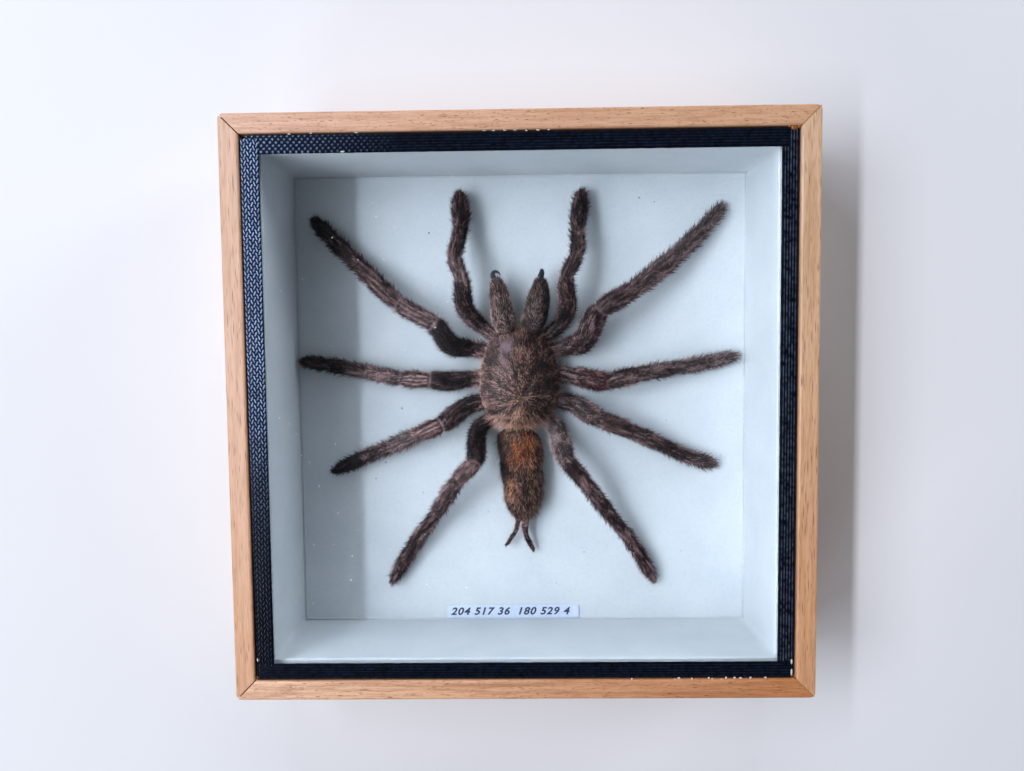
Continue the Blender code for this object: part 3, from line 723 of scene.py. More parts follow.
def add_print(name, text, left, width):
    """Slanting print as thin raised ink, set between two places along the slip."""
    letters = bpy.data.curves.new(name, "FONT")
    letters.body = text
    letters.size = PRINT_HEIGHT * MM
    letters.shear = PRINT_SLANT
    letters.extrude = 0.02 * MM
    letters.offset = 0.09 * MM
    letters.space_character = 1.15
    source = placed(name + "_text", letters)
    bpy.context.view_layer.update()
    mesh = bpy.data.meshes.new_from_object(source.evaluated_get(bpy.context.evaluated_depsgraph_get()))
    bpy.data.objects.remove(source)
    spots = np.array([v.co for v in mesh.vertices])
    spots[:, 0] = (spots[:, 0] - spots[:, 0].min()) * width * MM / np.ptp(spots[:, 0]) + left * MM
    spots[:, 1] += (LABEL_LOW.y + 1.05) * MM - spots[:, 1].min()
    spots[:, 2] += (LABEL_LOW.z + 0.16) * MM
    mesh.vertices.foreach_set("co", spots.ravel())
    finish_piece(placed(name, mesh), INK, "label_paper")


add_label()
add_print("label_number_first", "204 517 36", LABEL_LOW.x + 1.0, 18.0)
add_print("label_number_second", "180 529 4", LABEL_LOW.x + 21.6, 15.6)

# %% [markdown]
# ## Fur
#
# Every part of the spider is a dry, wrinkled skin with hairs on it, so one rule makes all
# of it. Geometry Nodes scatter points on the skin, more where it isn't bald, and set a thin
# three-sided cone on each. A hair leans from straight up towards the skin's own "along"
# direction, which each piece stores on its mesh, bends on in that direction, and leans with
# its neighbours into tufts. A part gets a short undercoat and then longer bristles from the
# same tree with other inputs. Real hairs are some hundredths of a millimetre thick, too fine
# to show, so each cone is drawn as thick as a small bundle of them.

# %% The hair tree
TONE_SEED = 77
HAIR_NUMBERS = ("Per square mm", "Shortest", "Longest", "Thickness", "Lie", "Stray", "Bend", "Tuft",
                "Tuft size", "Darkest", "Palest")
HAIR_INPUTS = {**dict.fromkeys(HAIR_NUMBERS, "Float"), "Segments": "Int", "Seed": "Int",
               "Bald mask": "String", "Coat": "Material"}


def new_tree(name, inputs):
    """A tree with a geometry in and out and named inputs, what adds nodes to it, and its inputs."""
    tree = bpy.data.node_groups.new(name, "GeometryNodeTree")
    for way in ("INPUT", "OUTPUT"):
        tree.interface.new_socket("Geometry", in_out=way, socket_type="NodeSocketGeometry")
    for label, kind in inputs.items():
        tree.interface.new_socket(label, in_out="INPUT", socket_type="NodeSocket" + kind)
    return tree, functools.partial(add_node, tree), tree.nodes.new("NodeGroupInput").outputs


def hair_tree():
    tree, add, given = new_tree("hairs_on_skin", HAIR_INPUTS)

    # Points on the skin, more where it isn't bald
    along = add("carried", Name="along", data_type="FLOAT_VECTOR")
    furry = add("ShaderNodeMath", 1.0, add("carried", Name=given["Bald mask"]), operation="SUBTRACT",
                use_clamp=True)
    density = add("times", add("times", given["Per square mm"], 1e6), furry)
    scatter = add("GeometryNodeDistributePointsOnFaces", Mesh=given["Geometry"], Density=density,
                  Seed=given["Seed"])

    # Which way each hair grows: between up and along, astray, and with its tuft
    stray = add("random", (-1, -1, -1), (1, 1, 1), Seed=given["Seed"], data_type="FLOAT_VECTOR")
    lean = add("mix", given["Lie"], scatter.outputs["Normal"], along, data_type="VECTOR")
    grain = add("ShaderNodeMath", 1 / MM, given["Tuft size"], operation="DIVIDE")
    spot = add("scaled", add("GeometryNodeInputPosition"), grain)
    cloud = add("noise", spot, Scale=1.0)
    centred = add("sum", cloud.outputs["Color"], (0.5, 0.5, 0.5), operation="SUBTRACT")
    leaning = add("sum", lean, add("scaled", stray, given["Stray"]))
    way = add("sum", leaning, add("scaled", centred, given["Tuft"]))
    turned = add("FunctionNodeAlignRotationToVector", Vector=way, axis="Z")

    # One cone for each hair, a metre high and wide before it is scaled
    shortest, longest, thickness = (add("times", given[name], MM)
                                    for name in ("Shortest", "Longest", "Thickness"))
    length = add("random", shortest, longest, Seed=given["Seed"])
    size = add("ShaderNodeCombineXYZ", thickness, thickness, length)
    cone = add("GeometryNodeMeshCone", Vertices=3, Side_Segments=given["Segments"], Radius_Top=0.0,
               Radius_Bottom=0.5, Depth=1.0, fill_type="NONE")
    height = add("ShaderNodeSeparateXYZ", add("GeometryNodeInputPosition")).outputs["Z"]
    strand = add("stored", cone, Name="tip", Value=height, domain="POINT")
    hairs = add("GeometryNodeInstanceOnPoints", scatter.outputs["Points"], Rotation=turned, Scale=size,
                Instance=add("GeometryNodeSetShadeSmooth", strand))
    tone = add("random", given["Darkest"], given["Palest"], Seed=TONE_SEED)
    toned = add("stored", hairs, Name="strand", Value=tone, domain="INSTANCE")
    measured = add("stored", toned, Name="hair_length", Value=length, domain="INSTANCE")
    real = add("GeometryNodeRealizeInstances", measured)

    # The tip bends along the skin
    curve = add("ShaderNodeMath", add("carried", Name="tip"), 2.0, operation="POWER")
    reach = add("times", add("carried", Name="hair_length"), given["Bend"])
    bent = add("GeometryNodeSetPosition", real, Offset=add("scaled", along, add("times", curve, reach)))

    # Hairs carry a full mask, so that no later coat with "bald" or the same mask grows on them
    hairless = add("stored", bent, Name="bald", Value=1.0, domain="POINT")
    masked = add("stored", hairless, Name=given["Bald mask"], Value=1.0, domain="POINT")
    joined = add("GeometryNodeJoinGeometry", masked)
    wire(joined, given["Geometry"])
    whole = add("GeometryNodeRealizeInstances", joined)
    add("NodeGroupOutput", add("GeometryNodeSetMaterial", whole, Material=given["Coat"]))
    return tree


HAIRS = hair_tree()
print("hair tree:", len(HAIRS.nodes), "nodes")

# %% Coats of hair
# Each coat: hairs per square mm; shortest, longest and thickness in mm; how far they lie down,
# stray and bend; how strongly they tuft and a tuft's size in mm; darkest and palest tone
COATS_OF_HAIR = {
    "comb": (1.6, 1.4, 2.3, 0.28, 0.44, 0.12, 0.2, 0.0, 0.9, -1.0, -0.2, 2),
    "undercoat": (12.0, 0.45, 1.15, 0.14, 0.82, 0.2, 0.1, 0.4, 0.8, -0.15, 0.95, 1),
    "bristles": (5.0, 0.6, 1.85, 0.17, 0.3, 0.55, 0.3, 0.3, 1.5, -0.5, 0.75, 1),
    "shield_fringe": (7.0, 1.4, 3.6, 0.13, 0.84, 0.45, 0.2, 0.25, 0.9, 0.4, 1.2, 2),
    "shield_crest": (3.0, 0.6, 1.4, 0.12, 0.72, 0.5, 0.3, 0.4, 1.2, 0.3, 1.3, 2),
    "shield_short": (17.0, 0.3, 0.8, 0.14, 0.8, 0.55, 0.1, 0.5, 0.6, 0.0, 0.95, 1),
    "abdomen_short": (11.0, 0.6, 1.3, 0.16, 0.78, 0.45, 0.12, 0.8, 1.0, 0.0, 1.0, 1),
    "abdomen_long": (2.8, 1.0, 2.3, 0.12, 0.6, 0.45, 0.3, 0.7, 1.4, -0.2, 1.2, 2),
    "jaw_short": (13.0, 0.5, 1.2, 0.14, 0.84, 0.3, 0.1, 0.35, 0.7, 0.0, 1.0, 1),
    "jaw_long": (2.6, 0.8, 1.8, 0.11, 0.6, 0.4, 0.3, 0.25, 0.9, -0.3, 1.1, 2),
    "finger": (9.0, 0.35, 0.9, 0.17, 0.66, 0.4, 0.1, 0.25, 0.9, 0.0, 1.0, 1),
}


def run_tree(tree, source, name, passes):
    """Runs a tree over a source once for each pass, and keeps the result as a plain mesh."""
    for values in passes:
        modifier = source.modifiers.new("tree", "NODES")
        modifier.node_group = tree
        for socket in tree.interface.items_tree:
            if socket.in_out == "INPUT" and socket.name in values:
                modifier[socket.identifier] = values[socket.name]
    bpy.context.view_layer.update()
    mesh = bpy.data.meshes.new_from_object(source.evaluated_get(bpy.context.evaluated_depsgraph_get()))
    mesh.name = name
    bpy.data.objects.remove(source)
    return placed(name, mesh)


def grow_fur(skin, name, fur, slot, passes, *replaced):
    """Grows coats of hair, each with a seed and, if not "bald", the mask where it doesn't grow."""
    values = [{**dict(zip(HAIR_INPUTS, COATS_OF_HAIR[coat])), "Seed": seed,
               "Bald mask": mask[0] if mask else "bald", "Coat": fur} for coat, seed, *mask in passes]
    finish_piece(run_tree(HAIRS, skin, name, values), None, slot, *replaced)


# %% [markdown]
# ## Fur colours
#
# Seen close, the fur is brown hairs of many tones, from nearly black to tan, over a dark
# skin. Some parts are dark, some reddish, some grey, and bald places show a pinkish skin
# with a slight shine. Each of those is a mask that the piece carries, and the shader lays
# them over one another. Part of the dark and grey is painted light: shade on the left legs'
# outer segments, which lie in the wall's shadow, and on the carapace's right, and sheen on
# the carapace's left. Hairs differ from each other by their "strand" number.

# %% Fur
# Each tint: the mask that lays it on, its colour, and how much of it the full mask gives
# The dark tint's bluish black is partly painted shade, the blue of daylight in shadow
TINTS = (("tan", "#dcab84", 0.72), ("rust", "#d0794a", 0.78), ("red", "#7a2e2b", 0.6),
         ("grey", "#c4adaa", 0.62), ("dark", "#0e0b0f", 0.92))


def dry_fur(name, low, mid, high):
    """Hairs from a low to a high tone, darkened or tinted by the piece's masks."""
    material, shader, add = new_material(name, IOR=1.55, Specular_IOR_Level=0.25)
    tone = add("ShaderNodeMath", "clump", 0.5, add("times", "strand", 0.5), operation="MULTIPLY_ADD")
    hue = add("ramp", tone, stops=((0.22, low), (0.48, mid), (0.74, high)))
    for mask, tint, most in TINTS:
        hue = add("mix", add("times", mask, most), hue, tint)
    # Roots lie in each other's shade, and tips catch the light
    for shade in (add("range", tone, From_Min=0.2, From_Max=0.75, To_Min=0.22, To_Max=1.42),
                  add("range", "tip", From_Max=0.6, To_Min=0.1, To_Max=1.25)):
        hue = add("mix", 1.0, hue, shade, blend_type="MULTIPLY")
    blotch = add("noise", in_mm(add, 0.5), Scale=1.0, Detail=3.0)
    hue = add("mix", "pale", hue, add("mix", blotch, "#7c5659", "#dcb9b4"))
    shine = add("range", "pale", To_Min=0.55, To_Max=0.35)
    relief = add("bump", Height=blotch, Strength=0.4, Distance=0.05 * MM)
    wire(shader, Base_Color=hue, Roughness=shine, Normal=relief)
    return material


LEG_FUR = dry_fur("dry_brown_fur", "#140b0d", "#63383b", "#d3a5a5")
GREY_FUR = dry_fur("dry_grey_brown_fur", "#1d1213", "#664742", "#c6a297")
BODY_FUR = dry_fur("dry_body_fur", "#150a09", "#683a30", "#d0a08e")

# %% [markdown]
# ## Legs and feelers
#
# A leg is a chain of seven segments, thicker in the middle and narrow at the joints, and
# drying has left folds along it. Its skin is swept along the same centreline as its CAD
# solid, in fine rings, a little thinner than the solid, so that the fur reaches the solid's
# form. Because each ring knows how far along and how far round it is, the bald stripes on
# the knee segments and the pale rings at the joints are easy to place.

# %% Centrelines
MIDDLE = np.array((-0.6, 5.5))  # of the fore body, which all limbs start from

# How wide each part is at some shares of its length, against the segment's given width
LEG_WIDTHS = {
    "trochanter": ((0.0, 0.76), (0.5, 0.84)),
    "femur base": ((0.0, 0.88), (0.5, 1.0)),
    "femur end": ((0.0, 1.04), (0.45, 1.04), (0.82, 0.95)),
    "patella": ((0.0, 0.84), (0.15, 0.98), (0.5, 1.02), (0.85, 0.98)),
    "tibia": ((0.0, 0.88), (0.12, 0.98), (0.5, 1.02), (0.88, 0.98)),
    "metatarsus": ((0.0, 0.9), (0.12, 0.98), (0.5, 0.98), (0.88, 1.0)),
    "tarsus": ((0.0, 0.9), (0.15, 1.0), (0.5, 1.03), (0.78, 0.98), (0.93, 0.76), (1.0, 0.36)),
    "club": ((0.0, 0.74), (0.15, 0.86), (0.45, 1.0), (0.75, 1.02), (0.92, 0.8), (1.0, 0.4)),
}
LEG_PARTS = ("trochanter", "femur base", "femur end", "patella", "tibia", "metatarsus", "tarsus")
PALP_PARTS = ("trochanter", "femur base", "femur end", "patella", "tibia", "club")

# Each limb: where it starts, its segments' widths, and their length, heading and rise
LIMBS = {
    "leg_1_left": ((-6.5, 14.9, 8.0), (5.2, 5.8, 5.8, 5.1, 4.9, 4.9, 4.7),
        ((8.1, 174, 9), (6.9, 168, 30), (7.8, 126, 23), (11.8, 149, -6), (16.0, 137, -13), (12.2, 135, -8),
         (8.4, 134, -8))),
    "leg_2_left": ((-7.0, 7.4, 8.0), (5.5, 5.5, 5.5, 4.9, 4.3, 4.3, 3.9),
        ((8.3, -176, 9), (6.2, -176, 24), (5.6, 175, 18), (8.6, 177, -5), (10.6, 169, -12), (12.4, 170, -9),
         (8.5, 172, -8))),
    "leg_3_left": ((-7.0, 0.2, 8.0), (5.8, 5.8, 5.8, 5.0, 4.6, 4.1, 4.1),
        ((7.3, -176, 10), (5.7, -150, 20), (5.6, -145, 21), (6.7, -157, -3), (10.5, -156, -14),
         (9.2, -158, -10), (10.6, -156, -5))),
    "leg_4_left": ((-6.4, -3.7, 8.0), (5.0, 5.5, 5.5, 4.7, 4.3, 3.8, 4.1),
        ((7.2, -149, 14), (5.9, -99, 40), (6.2, -95, 41), (6.8, -134, -4), (13.6, -123, -20),
         (14.5, -125, -14), (12.5, -120, -6))),
    "leg_1_right": ((6.0, 14.4, 8.2), (5.6, 6.6, 6.7, 5.8, 5.2, 4.9, 4.2),
        ((8.8, 12, 9), (5.2, 27, 32), (9.8, 63, 26), (11.4, 32, -10), (15.4, 37, -13), (12.0, 43, -10),
         (9.9, 48, -7))),
    "leg_2_right": ((7.2, 9.2, 8.0), (5.8, 5.8, 5.8, 5.2, 4.4, 4.1, 4.1),
        ((9.1, -12, 9), (4.9, -11, 30), (4.8, -7, 20), (9.3, 12, -5), (11.0, 8, -14), (9.6, 9, -9),
         (10.5, 11, -5))),
    "leg_3_right": ((6.6, 0.9, 8.0), (5.8, 5.8, 5.8, 5.2, 4.4, 4.1, 4.3),
        ((8.5, -10, 10), (5.1, -29, 30), (4.9, -28, 16), (9.0, -23, -5), (9.7, -25, -14), (9.9, -25, -10),
         (9.5, -18, -4))),
    "leg_4_right": ((5.2, -2.8, 8.0), (5.8, 5.8, 5.8, 4.9, 4.2, 3.7, 4.0),
        ((7.4, -45, 14), (6.2, -75, 42), (5.6, -70, 39), (7.7, -51, -3), (13.1, -54, -20), (14.7, -54, -14),
         (12.0, -61, -6))),
    "pedipalp_left": ((-5.0, 17.4, 8.3), (4.3, 5.0, 5.0, 4.3, 4.1, 5.5),
        ((8.0, 143, 7), (8.5, 130, 34), (8.6, 93, 31), (7.0, 107, -12), (10.2, 81, -29), (11.2, 93, -16))),
    "pedipalp_right": ((4.0, 17.3, 8.3), (4.3, 4.9, 4.9, 4.1, 3.9, 5.2),
        ((7.7, 33, 7), (7.7, 62, 34), (9.5, 93, 31), (7.7, 66, -15), (9.4, 86, -28), (11.3, 82, -16))),
}

# How each limb's fur is coloured, segment by segment: dark, reddish, grey; then how strong
# its bald stripes and its pale joint ring are. On the left legs, whose outer segments lie in
# the left wall's shadow, their dark is partly painted shade.
COATS = {
    "leg_1_left": ((0.2, 0.95, 0.95, 0.22, 0.45, 0.75, 0.85), (0, 0, 0, 0.2, 0.1, 0, 0),
        (0.2, 0, 0, 0.1, 0, 0, 0), 0.8, 1.0),
    "leg_2_left": ((0.2, 0.85, 0.9, 0.05, 0.15, 0.7, 0.85), (0, 0, 0, 0.35, 0.1, 0, 0),
        (0.3, 0, 0, 0.1, 0.4, 0, 0), 1.0, 0.9),
    "leg_3_left": ((0.7, 0.85, 0.7, 0.15, 0.15, 0.6, 0.92), (0, 0, 0, 0.7, 0.1, 0, 0),
        (0, 0, 0, 0, 0.6, 0.2, 0), 0.8, 0.9),
    "leg_4_left": ((0.9, 0.95, 0.9, 0.25, 0.35, 0.4, 0.45), (0, 0.5, 0.4, 0.9, 0.2, 0.2, 0.2),
        (0, 0, 0, 0.3, 0.1, 0, 0), 0.5, 0.7),
    "leg_1_right": ((0.15, 0.3, 0.45, 0.25, 0.05, 0.0, 0.0), (0, 0.1, 0.1, 0.4, 0.2, 0.2, 0.2),
        (0.2, 0, 0, 0.2, 0.5, 0.75, 0.95), 0.3, 0.6),
    "leg_2_right": ((0.4, 0.1, 0.15, 0.25, 0.15, 0.0, 0.0), (0, 0.7, 0.9, 0.3, 0.1, 0.2, 0.1),
        (0.3, 0.1, 0, 0.2, 0.4, 0.6, 1.0), 0.2, 0.4),
    "leg_3_right": ((0.6, 0.0, 0.05, 0.3, 0.3, 0.15, 0.1), (0, 0.1, 0.2, 0.8, 0.2, 0.2, 0.1),
        (0, 0.45, 0.4, 0.1, 0.2, 0.2, 0.5), 0.3, 0.4),
    "leg_4_right": ((0.3, 0.05, 0.1, 0.15, 0.2, 0.1, 0.05), (0, 0, 0.1, 0.7, 0.2, 0.2, 0.3),
        (0.7, 0.9, 0.7, 0, 0.1, 0, 0.1), 0.2, 0.2),
    "pedipalp_left": ((0.4, 0.75, 0.6, 0.2, 0.3, 0.6), (0, 0, 0.1, 0.2, 0.1, 0.4),
        (0.3, 0, 0, 0.2, 0, 0), 0.6, 0.4),
    "pedipalp_right": ((0.6, 0.7, 0.45, 0.3, 0.35, 0.55), (0, 0, 0.3, 0.2, 0.1, 0),
        (0.1, 0, 0, 0.1, 0.1, 0), 0.3, 0.2),
}


def direction(heading, rise):
    heading, rise = math.radians(heading), math.radians(rise)
    return np.array((math.cos(rise) * math.cos(heading), math.cos(rise) * math.sin(heading), math.sin(rise)))


def smooth_between(points, t):
    """A place on the smooth curve through four points, between the middle two."""
    before, start, end, after = points
    first, last = (end - before) / 2, (after - start) / 2
    return ((2 * t**3 - 3 * t**2 + 1) * start + (t**3 - 2 * t**2 + t) * first
            + (3 * t**2 - 2 * t**3) * end + (t**3 - t**2) * last)


def limb_line(name, step=0.42):
    """Places and radii in mm along a limb, and the segment number and fraction of each."""
    root, widths, segments = LIMBS[name]
    parts = LEG_PARTS if len(segments) == len(LEG_PARTS) else PALP_PARTS
    joints = [np.array(root)]
    for length, heading, rise in segments:
        joints.append(joints[-1] + length * direction(heading, rise))
    line = [2 * joints[0] - joints[1], *joints, 2 * joints[-1] - joints[-2]]
    known = [(index + at, full * widths[index] / 2)
             for index, part in enumerate(parts) for at, full in LEG_WIDTHS[part]]
    stages = [index + at for index, (length, *_) in enumerate(segments)
              for at in np.arange(0, 1, step / length)]
    stages = np.array([*stages, len(parts)])
    firsts = [int(min(stage, len(parts) - 1)) for stage in stages]
    places = [smooth_between(line[first:][:4], stage - first) for stage, first in zip(stages, firsts)]
    return np.array(places), np.interp(stages, *np.array(known).T), stages


# %% Sweeping a skin
def ring_frames(places):
    """For each place: the way along, a level direction across, and the way up."""
    along = np.gradient(places, axis=0)
    along /= np.linalg.norm(along, axis=1)[:, None]
    across = np.cross(along, (0, 0, 1.0))
    across /= np.linalg.norm(across, axis=1)[:, None]
    return along, across, np.cross(across, along)


def sweep(name, places, radii, around=28):
    """A closed skin of rings along a line, in mm, and its way along at each point."""
    along, across, up = ring_frames(places)
    angles = np.linspace(0, 2 * math.pi, around, endpoint=False)[None, :, None]
    spokes = np.cos(angles) * across[:, None, :] + np.sin(angles) * up[:, None, :]
    rings = places[:, None, :] + radii[..., None] * spokes
    tip = places[-1] + along[-1] * radii[-1].mean() * 0.7
    points = np.vstack([rings.reshape(-1, 3), places[0], tip])
    count = len(places)
    faces = ring_faces(count, around, [(0, count * around), (count - 1, count * around + 1)])
    grown = np.vstack([np.repeat(along, around, 0), along[0], along[-1]])
    return mesh_object(name, points * MM, faces), grown


def to_points(grid):
    """A value for each ring and angle as one for each point of a swept skin, ends included."""
    return np.concatenate([grid.ravel(), [grid[0].mean(), grid[-1].mean()]])


# %% Limbs
SKIN_SHARE = 0.85
LIMB_SIDES = 40
STRIPES = ((60, 10, 1.0), (90, 8, 0.8), (122, 10, 0.9))  # degrees round, reach in degrees, strength
DRYNESS = (0.5, 0.7, 0.8, 1.2, 1.1, 0.9, 0.5)  # how deep each segment's folds are
BODY_REACH = (11.2, 14.0)


def along_parts(stages, values):
    """A value for each segment, blended over the joints."""
    spots = [u for index in range(len(values)) for u in (index + 0.14, index + 0.86)]
    return np.interp(stages, spots, np.repeat(values, 2))


def lengthwise(radii, angles, walked, width, length, seed):
    """Noise from -1 to 1 on a limb, drawn out along it into ridges of a width and length in mm."""
    x, y = radii[:, None] * np.cos(angles) / width, radii[:, None] * np.sin(angles) / width
    return np.array([[noise.noise(Vector((a, b, w / length + 9.7 * seed))) for a, b in zip(*pair)]
                     for *pair, w in zip(x, y, walked)])


def add_limb(name, number):
    places, radii, stages = limb_line(name)
    from_body = np.hypot(*((places[:, :2] - MIDDLE) / BODY_REACH).T)
    start = max(np.nonzero(from_body > 0.97)[0][0] - 3, 0)
    places, radii, stages = places[start:], radii[start:], stages[start:]
    angles = np.linspace(0, 2 * math.pi, LIMB_SIDES, endpoint=False)
    walked = np.concatenate([[0], np.cumsum(np.linalg.norm(np.diff(places, axis=0), axis=1))])
    u, round_about = stages[:, None], np.degrees(angles)[None, :]

    # The skin's folds, its bald stripes and its joint rings
    dry = along_parts(stages, DRYNESS[: int(stages[-1])])[:, None]
    ridge = lengthwise(radii, angles, walked, 0.75, 4.5, number)
    wrinkle = lengthwise(radii, angles, walked, 0.4, 1.6, number + 30)
    lines = noise_along(walked, 2.1, 3.0 * number, 0)[:, None]
    stripe = sum(deep * bump(round_about - place - 5 * lines, reach) for place, reach, deep in STRIPES)
    stripe = np.clip(stripe * (0.7 + 0.9 * wrinkle + 0.5 * ridge), 0, 1)
    on_knee, on_shin = (np.clip(np.minimum(u - part - 0.06, part + 0.94 - u) / 0.06, 0, 1) for part in (3, 4))
    ring = bump(u - 3.0, 0.028) + 0.5 * bump(u - 4.0, 0.02) + 0.3 * bump(u - 5.0, 0.02)
    full = SKIN_SHARE * (1 + 0.05 * bump(u - 2.95, 0.04) - 0.05 * bump(u - 3.06, 0.03))
    full = full * (1 - 0.42 * np.clip((u - stages[-1] + 0.8) / 0.8, 0, 1) ** 1.8)
    swell = noise_along(walked, 3.3, 5.0 * number, 4)[:, None]
    depth = 0.3 * dry * ridge + 0.16 * dry * wrinkle + 0.14 * stripe * on_knee + 0.25 * swell
    skin, grown = sweep("skin_" + name, places, radii[:, None] * full + depth, LIMB_SIDES)

    # Its colours
    dark, red, grey, stripes, rings = COATS[name]
    flat = np.array([v.co for v in skin.data.vertices]) / MM
    patch = roughness_of(flat, 2.4, number + 40)
    dark, red, grey = (to_points(along_parts(stages, values)[:, None] + 0 * ridge)
                       for values in (dark, red, grey))
    dark = np.clip(dark + (0.22 * patch - 0.25 * to_points(ridge)) * (1.15 - dark), 0, 1)
    streak = to_points(stripe * (on_knee + 0.5 * on_shin)) * stripes
    worn = to_points(0.75 * on_knee * np.clip(np.sin(angles)[None, :] * 2, 0, 1)) * stripes
    crest = np.clip((to_points(ridge) - 0.22) * 3, 0, 1) * (1 - dark) * 0.4
    lip = to_points(np.clip(ring * (0.8 + 0.5 * wrinkle), 0, 1)) * rings
    comb = np.clip(np.abs(np.cos(np.radians(round_about))) * 3 - 2, 0, 1) * np.clip((u - 3.9) * 4, 0, 1)
    comb = to_points(comb * (0.8 if name == "leg_1_right" else 0.35))
    paint(skin, along=grown, no_comb=1 - comb, dark=dark, grey=grey,
          red=np.clip(red * (0.8 + 0.6 * patch), 0, 1),
          clump=np.clip(0.5 + 0.85 * to_points(ridge) + 0.6 * to_points(wrinkle), 0, 1),
          bald=np.clip(np.maximum(1.1 * streak + 0.9 * lip, worn), 0, 0.95),
          pale=np.clip(0.7 * streak + 0.8 * lip + crest * (streak < 0.1), 0, 0.95))
    passes = [("comb", number * 5, "no_comb"), ("undercoat", number * 5 + 1), ("bristles", number * 5 + 2)]
    grow_fur(skin, name + "_furred", LEG_FUR, "dark_fur", passes, name)


for number, name in enumerate(LIMBS):
    add_limb(name, number)

# %% [markdown]
# ## Fore body
#
# The carapace is a low shield with a pit, the fovea, behind its middle. Furrows run from the
# pit to the gaps between the legs, and the head stands up in front between two of them, with
# the eyes on a small mound. The hairs stream away from the pit, worn off in two patches on
# the left, and they are golden and longer at the back. Its fur also carries painted light: a
# grey sheen and a lighter skin on the left, towards the window, and painted shade to the
# right and along the low rim.

# %% Carapace
FOVEA = np.array((0.2, 1.9))
EDGE_HEIGHT, DOME_RISE, BELLY_DROP = 11.2, 5.4, 5.6
HEAD_FURROWS = (58, 124)
SIDE_FURROWS = (18, -22, -62, 162, 202, 240)


def carapace_edge(angle, grow):
    across, along = math.cos(angle), math.sin(angle)
    squareness, length = (2.5, 16.2) if along > 0 else (2.3, 12.6)
    length, width = length + grow, 11.7 + grow
    oval = (abs(across / width) ** squareness + abs(along / length) ** squareness) ** (-1 / squareness)
    edge = np.array((across, along)) * oval
    edge[0] *= 1 - 0.07 * bump(edge[1] / 16.2 - 0.66, 0.25)
    return edge


def furrow_depth(place):
    """How deep the furrows are at a place on the shield, in mm."""
    away = place - FOVEA
    reach = math.hypot(*away)
    heading = math.degrees(math.atan2(away[1], away[0]))
    depth = 0.0
    for furrow, deep, far in [(h, 0.5, 12) for h in HEAD_FURROWS] + [(h, 0.45, 10) for h in SIDE_FURROWS]:
        turn = (heading - furrow + 180) % 360 - 180
        depth += deep * bump(math.radians(turn) * reach, 0.75) * min(reach / 2.5, 1) * max(0, 1 - reach / far)
    return depth


def shield_place(ball, grow):
    angle, reach = math.atan2(ball.y, ball.x), min(math.hypot(ball.x, ball.y), 1.0)
    edge = carapace_edge(angle, grow)
    if ball.z <= 0:
        place = MIDDLE + edge * reach
        return (*place, EDGE_HEIGHT - (BELLY_DROP + grow) * (1 - reach**4.5) ** 0.8)
    place = MIDDLE + (FOVEA - MIDDLE) * (1 - reach) + edge * reach
    height = EDGE_HEIGHT + (DOME_RISE + grow) * (1 - reach**2.2) ** 0.62
    height += 0.9 * bump(math.dist(place, (-0.8, 13.5)), 6) + 0.9 * bump(math.dist(place, (-1.1, 19.0)), 1.5)
    height -= 0.7 * bump(math.dist(place, FOVEA), 1.0) + furrow_depth(place)
    return (*place, height)


def streaks_from_pit(heading, reach, turns, length):
    """Noise from -1 to 1 in rays from the pit: how many turn round it, and their length in mm."""
    return np.array([noise.noise(Vector((math.cos(h) * turns, math.sin(h) * turns, r / length)))
                     for h, r in zip(heading, reach)])


def ordered(face):
    """The numbers of a face's points in their order round it, from the smallest on."""
    numbers = [vertex.index for vertex in face.verts]
    first = numbers.index(min(numbers))
    return (*numbers[first:], *numbers[:first])


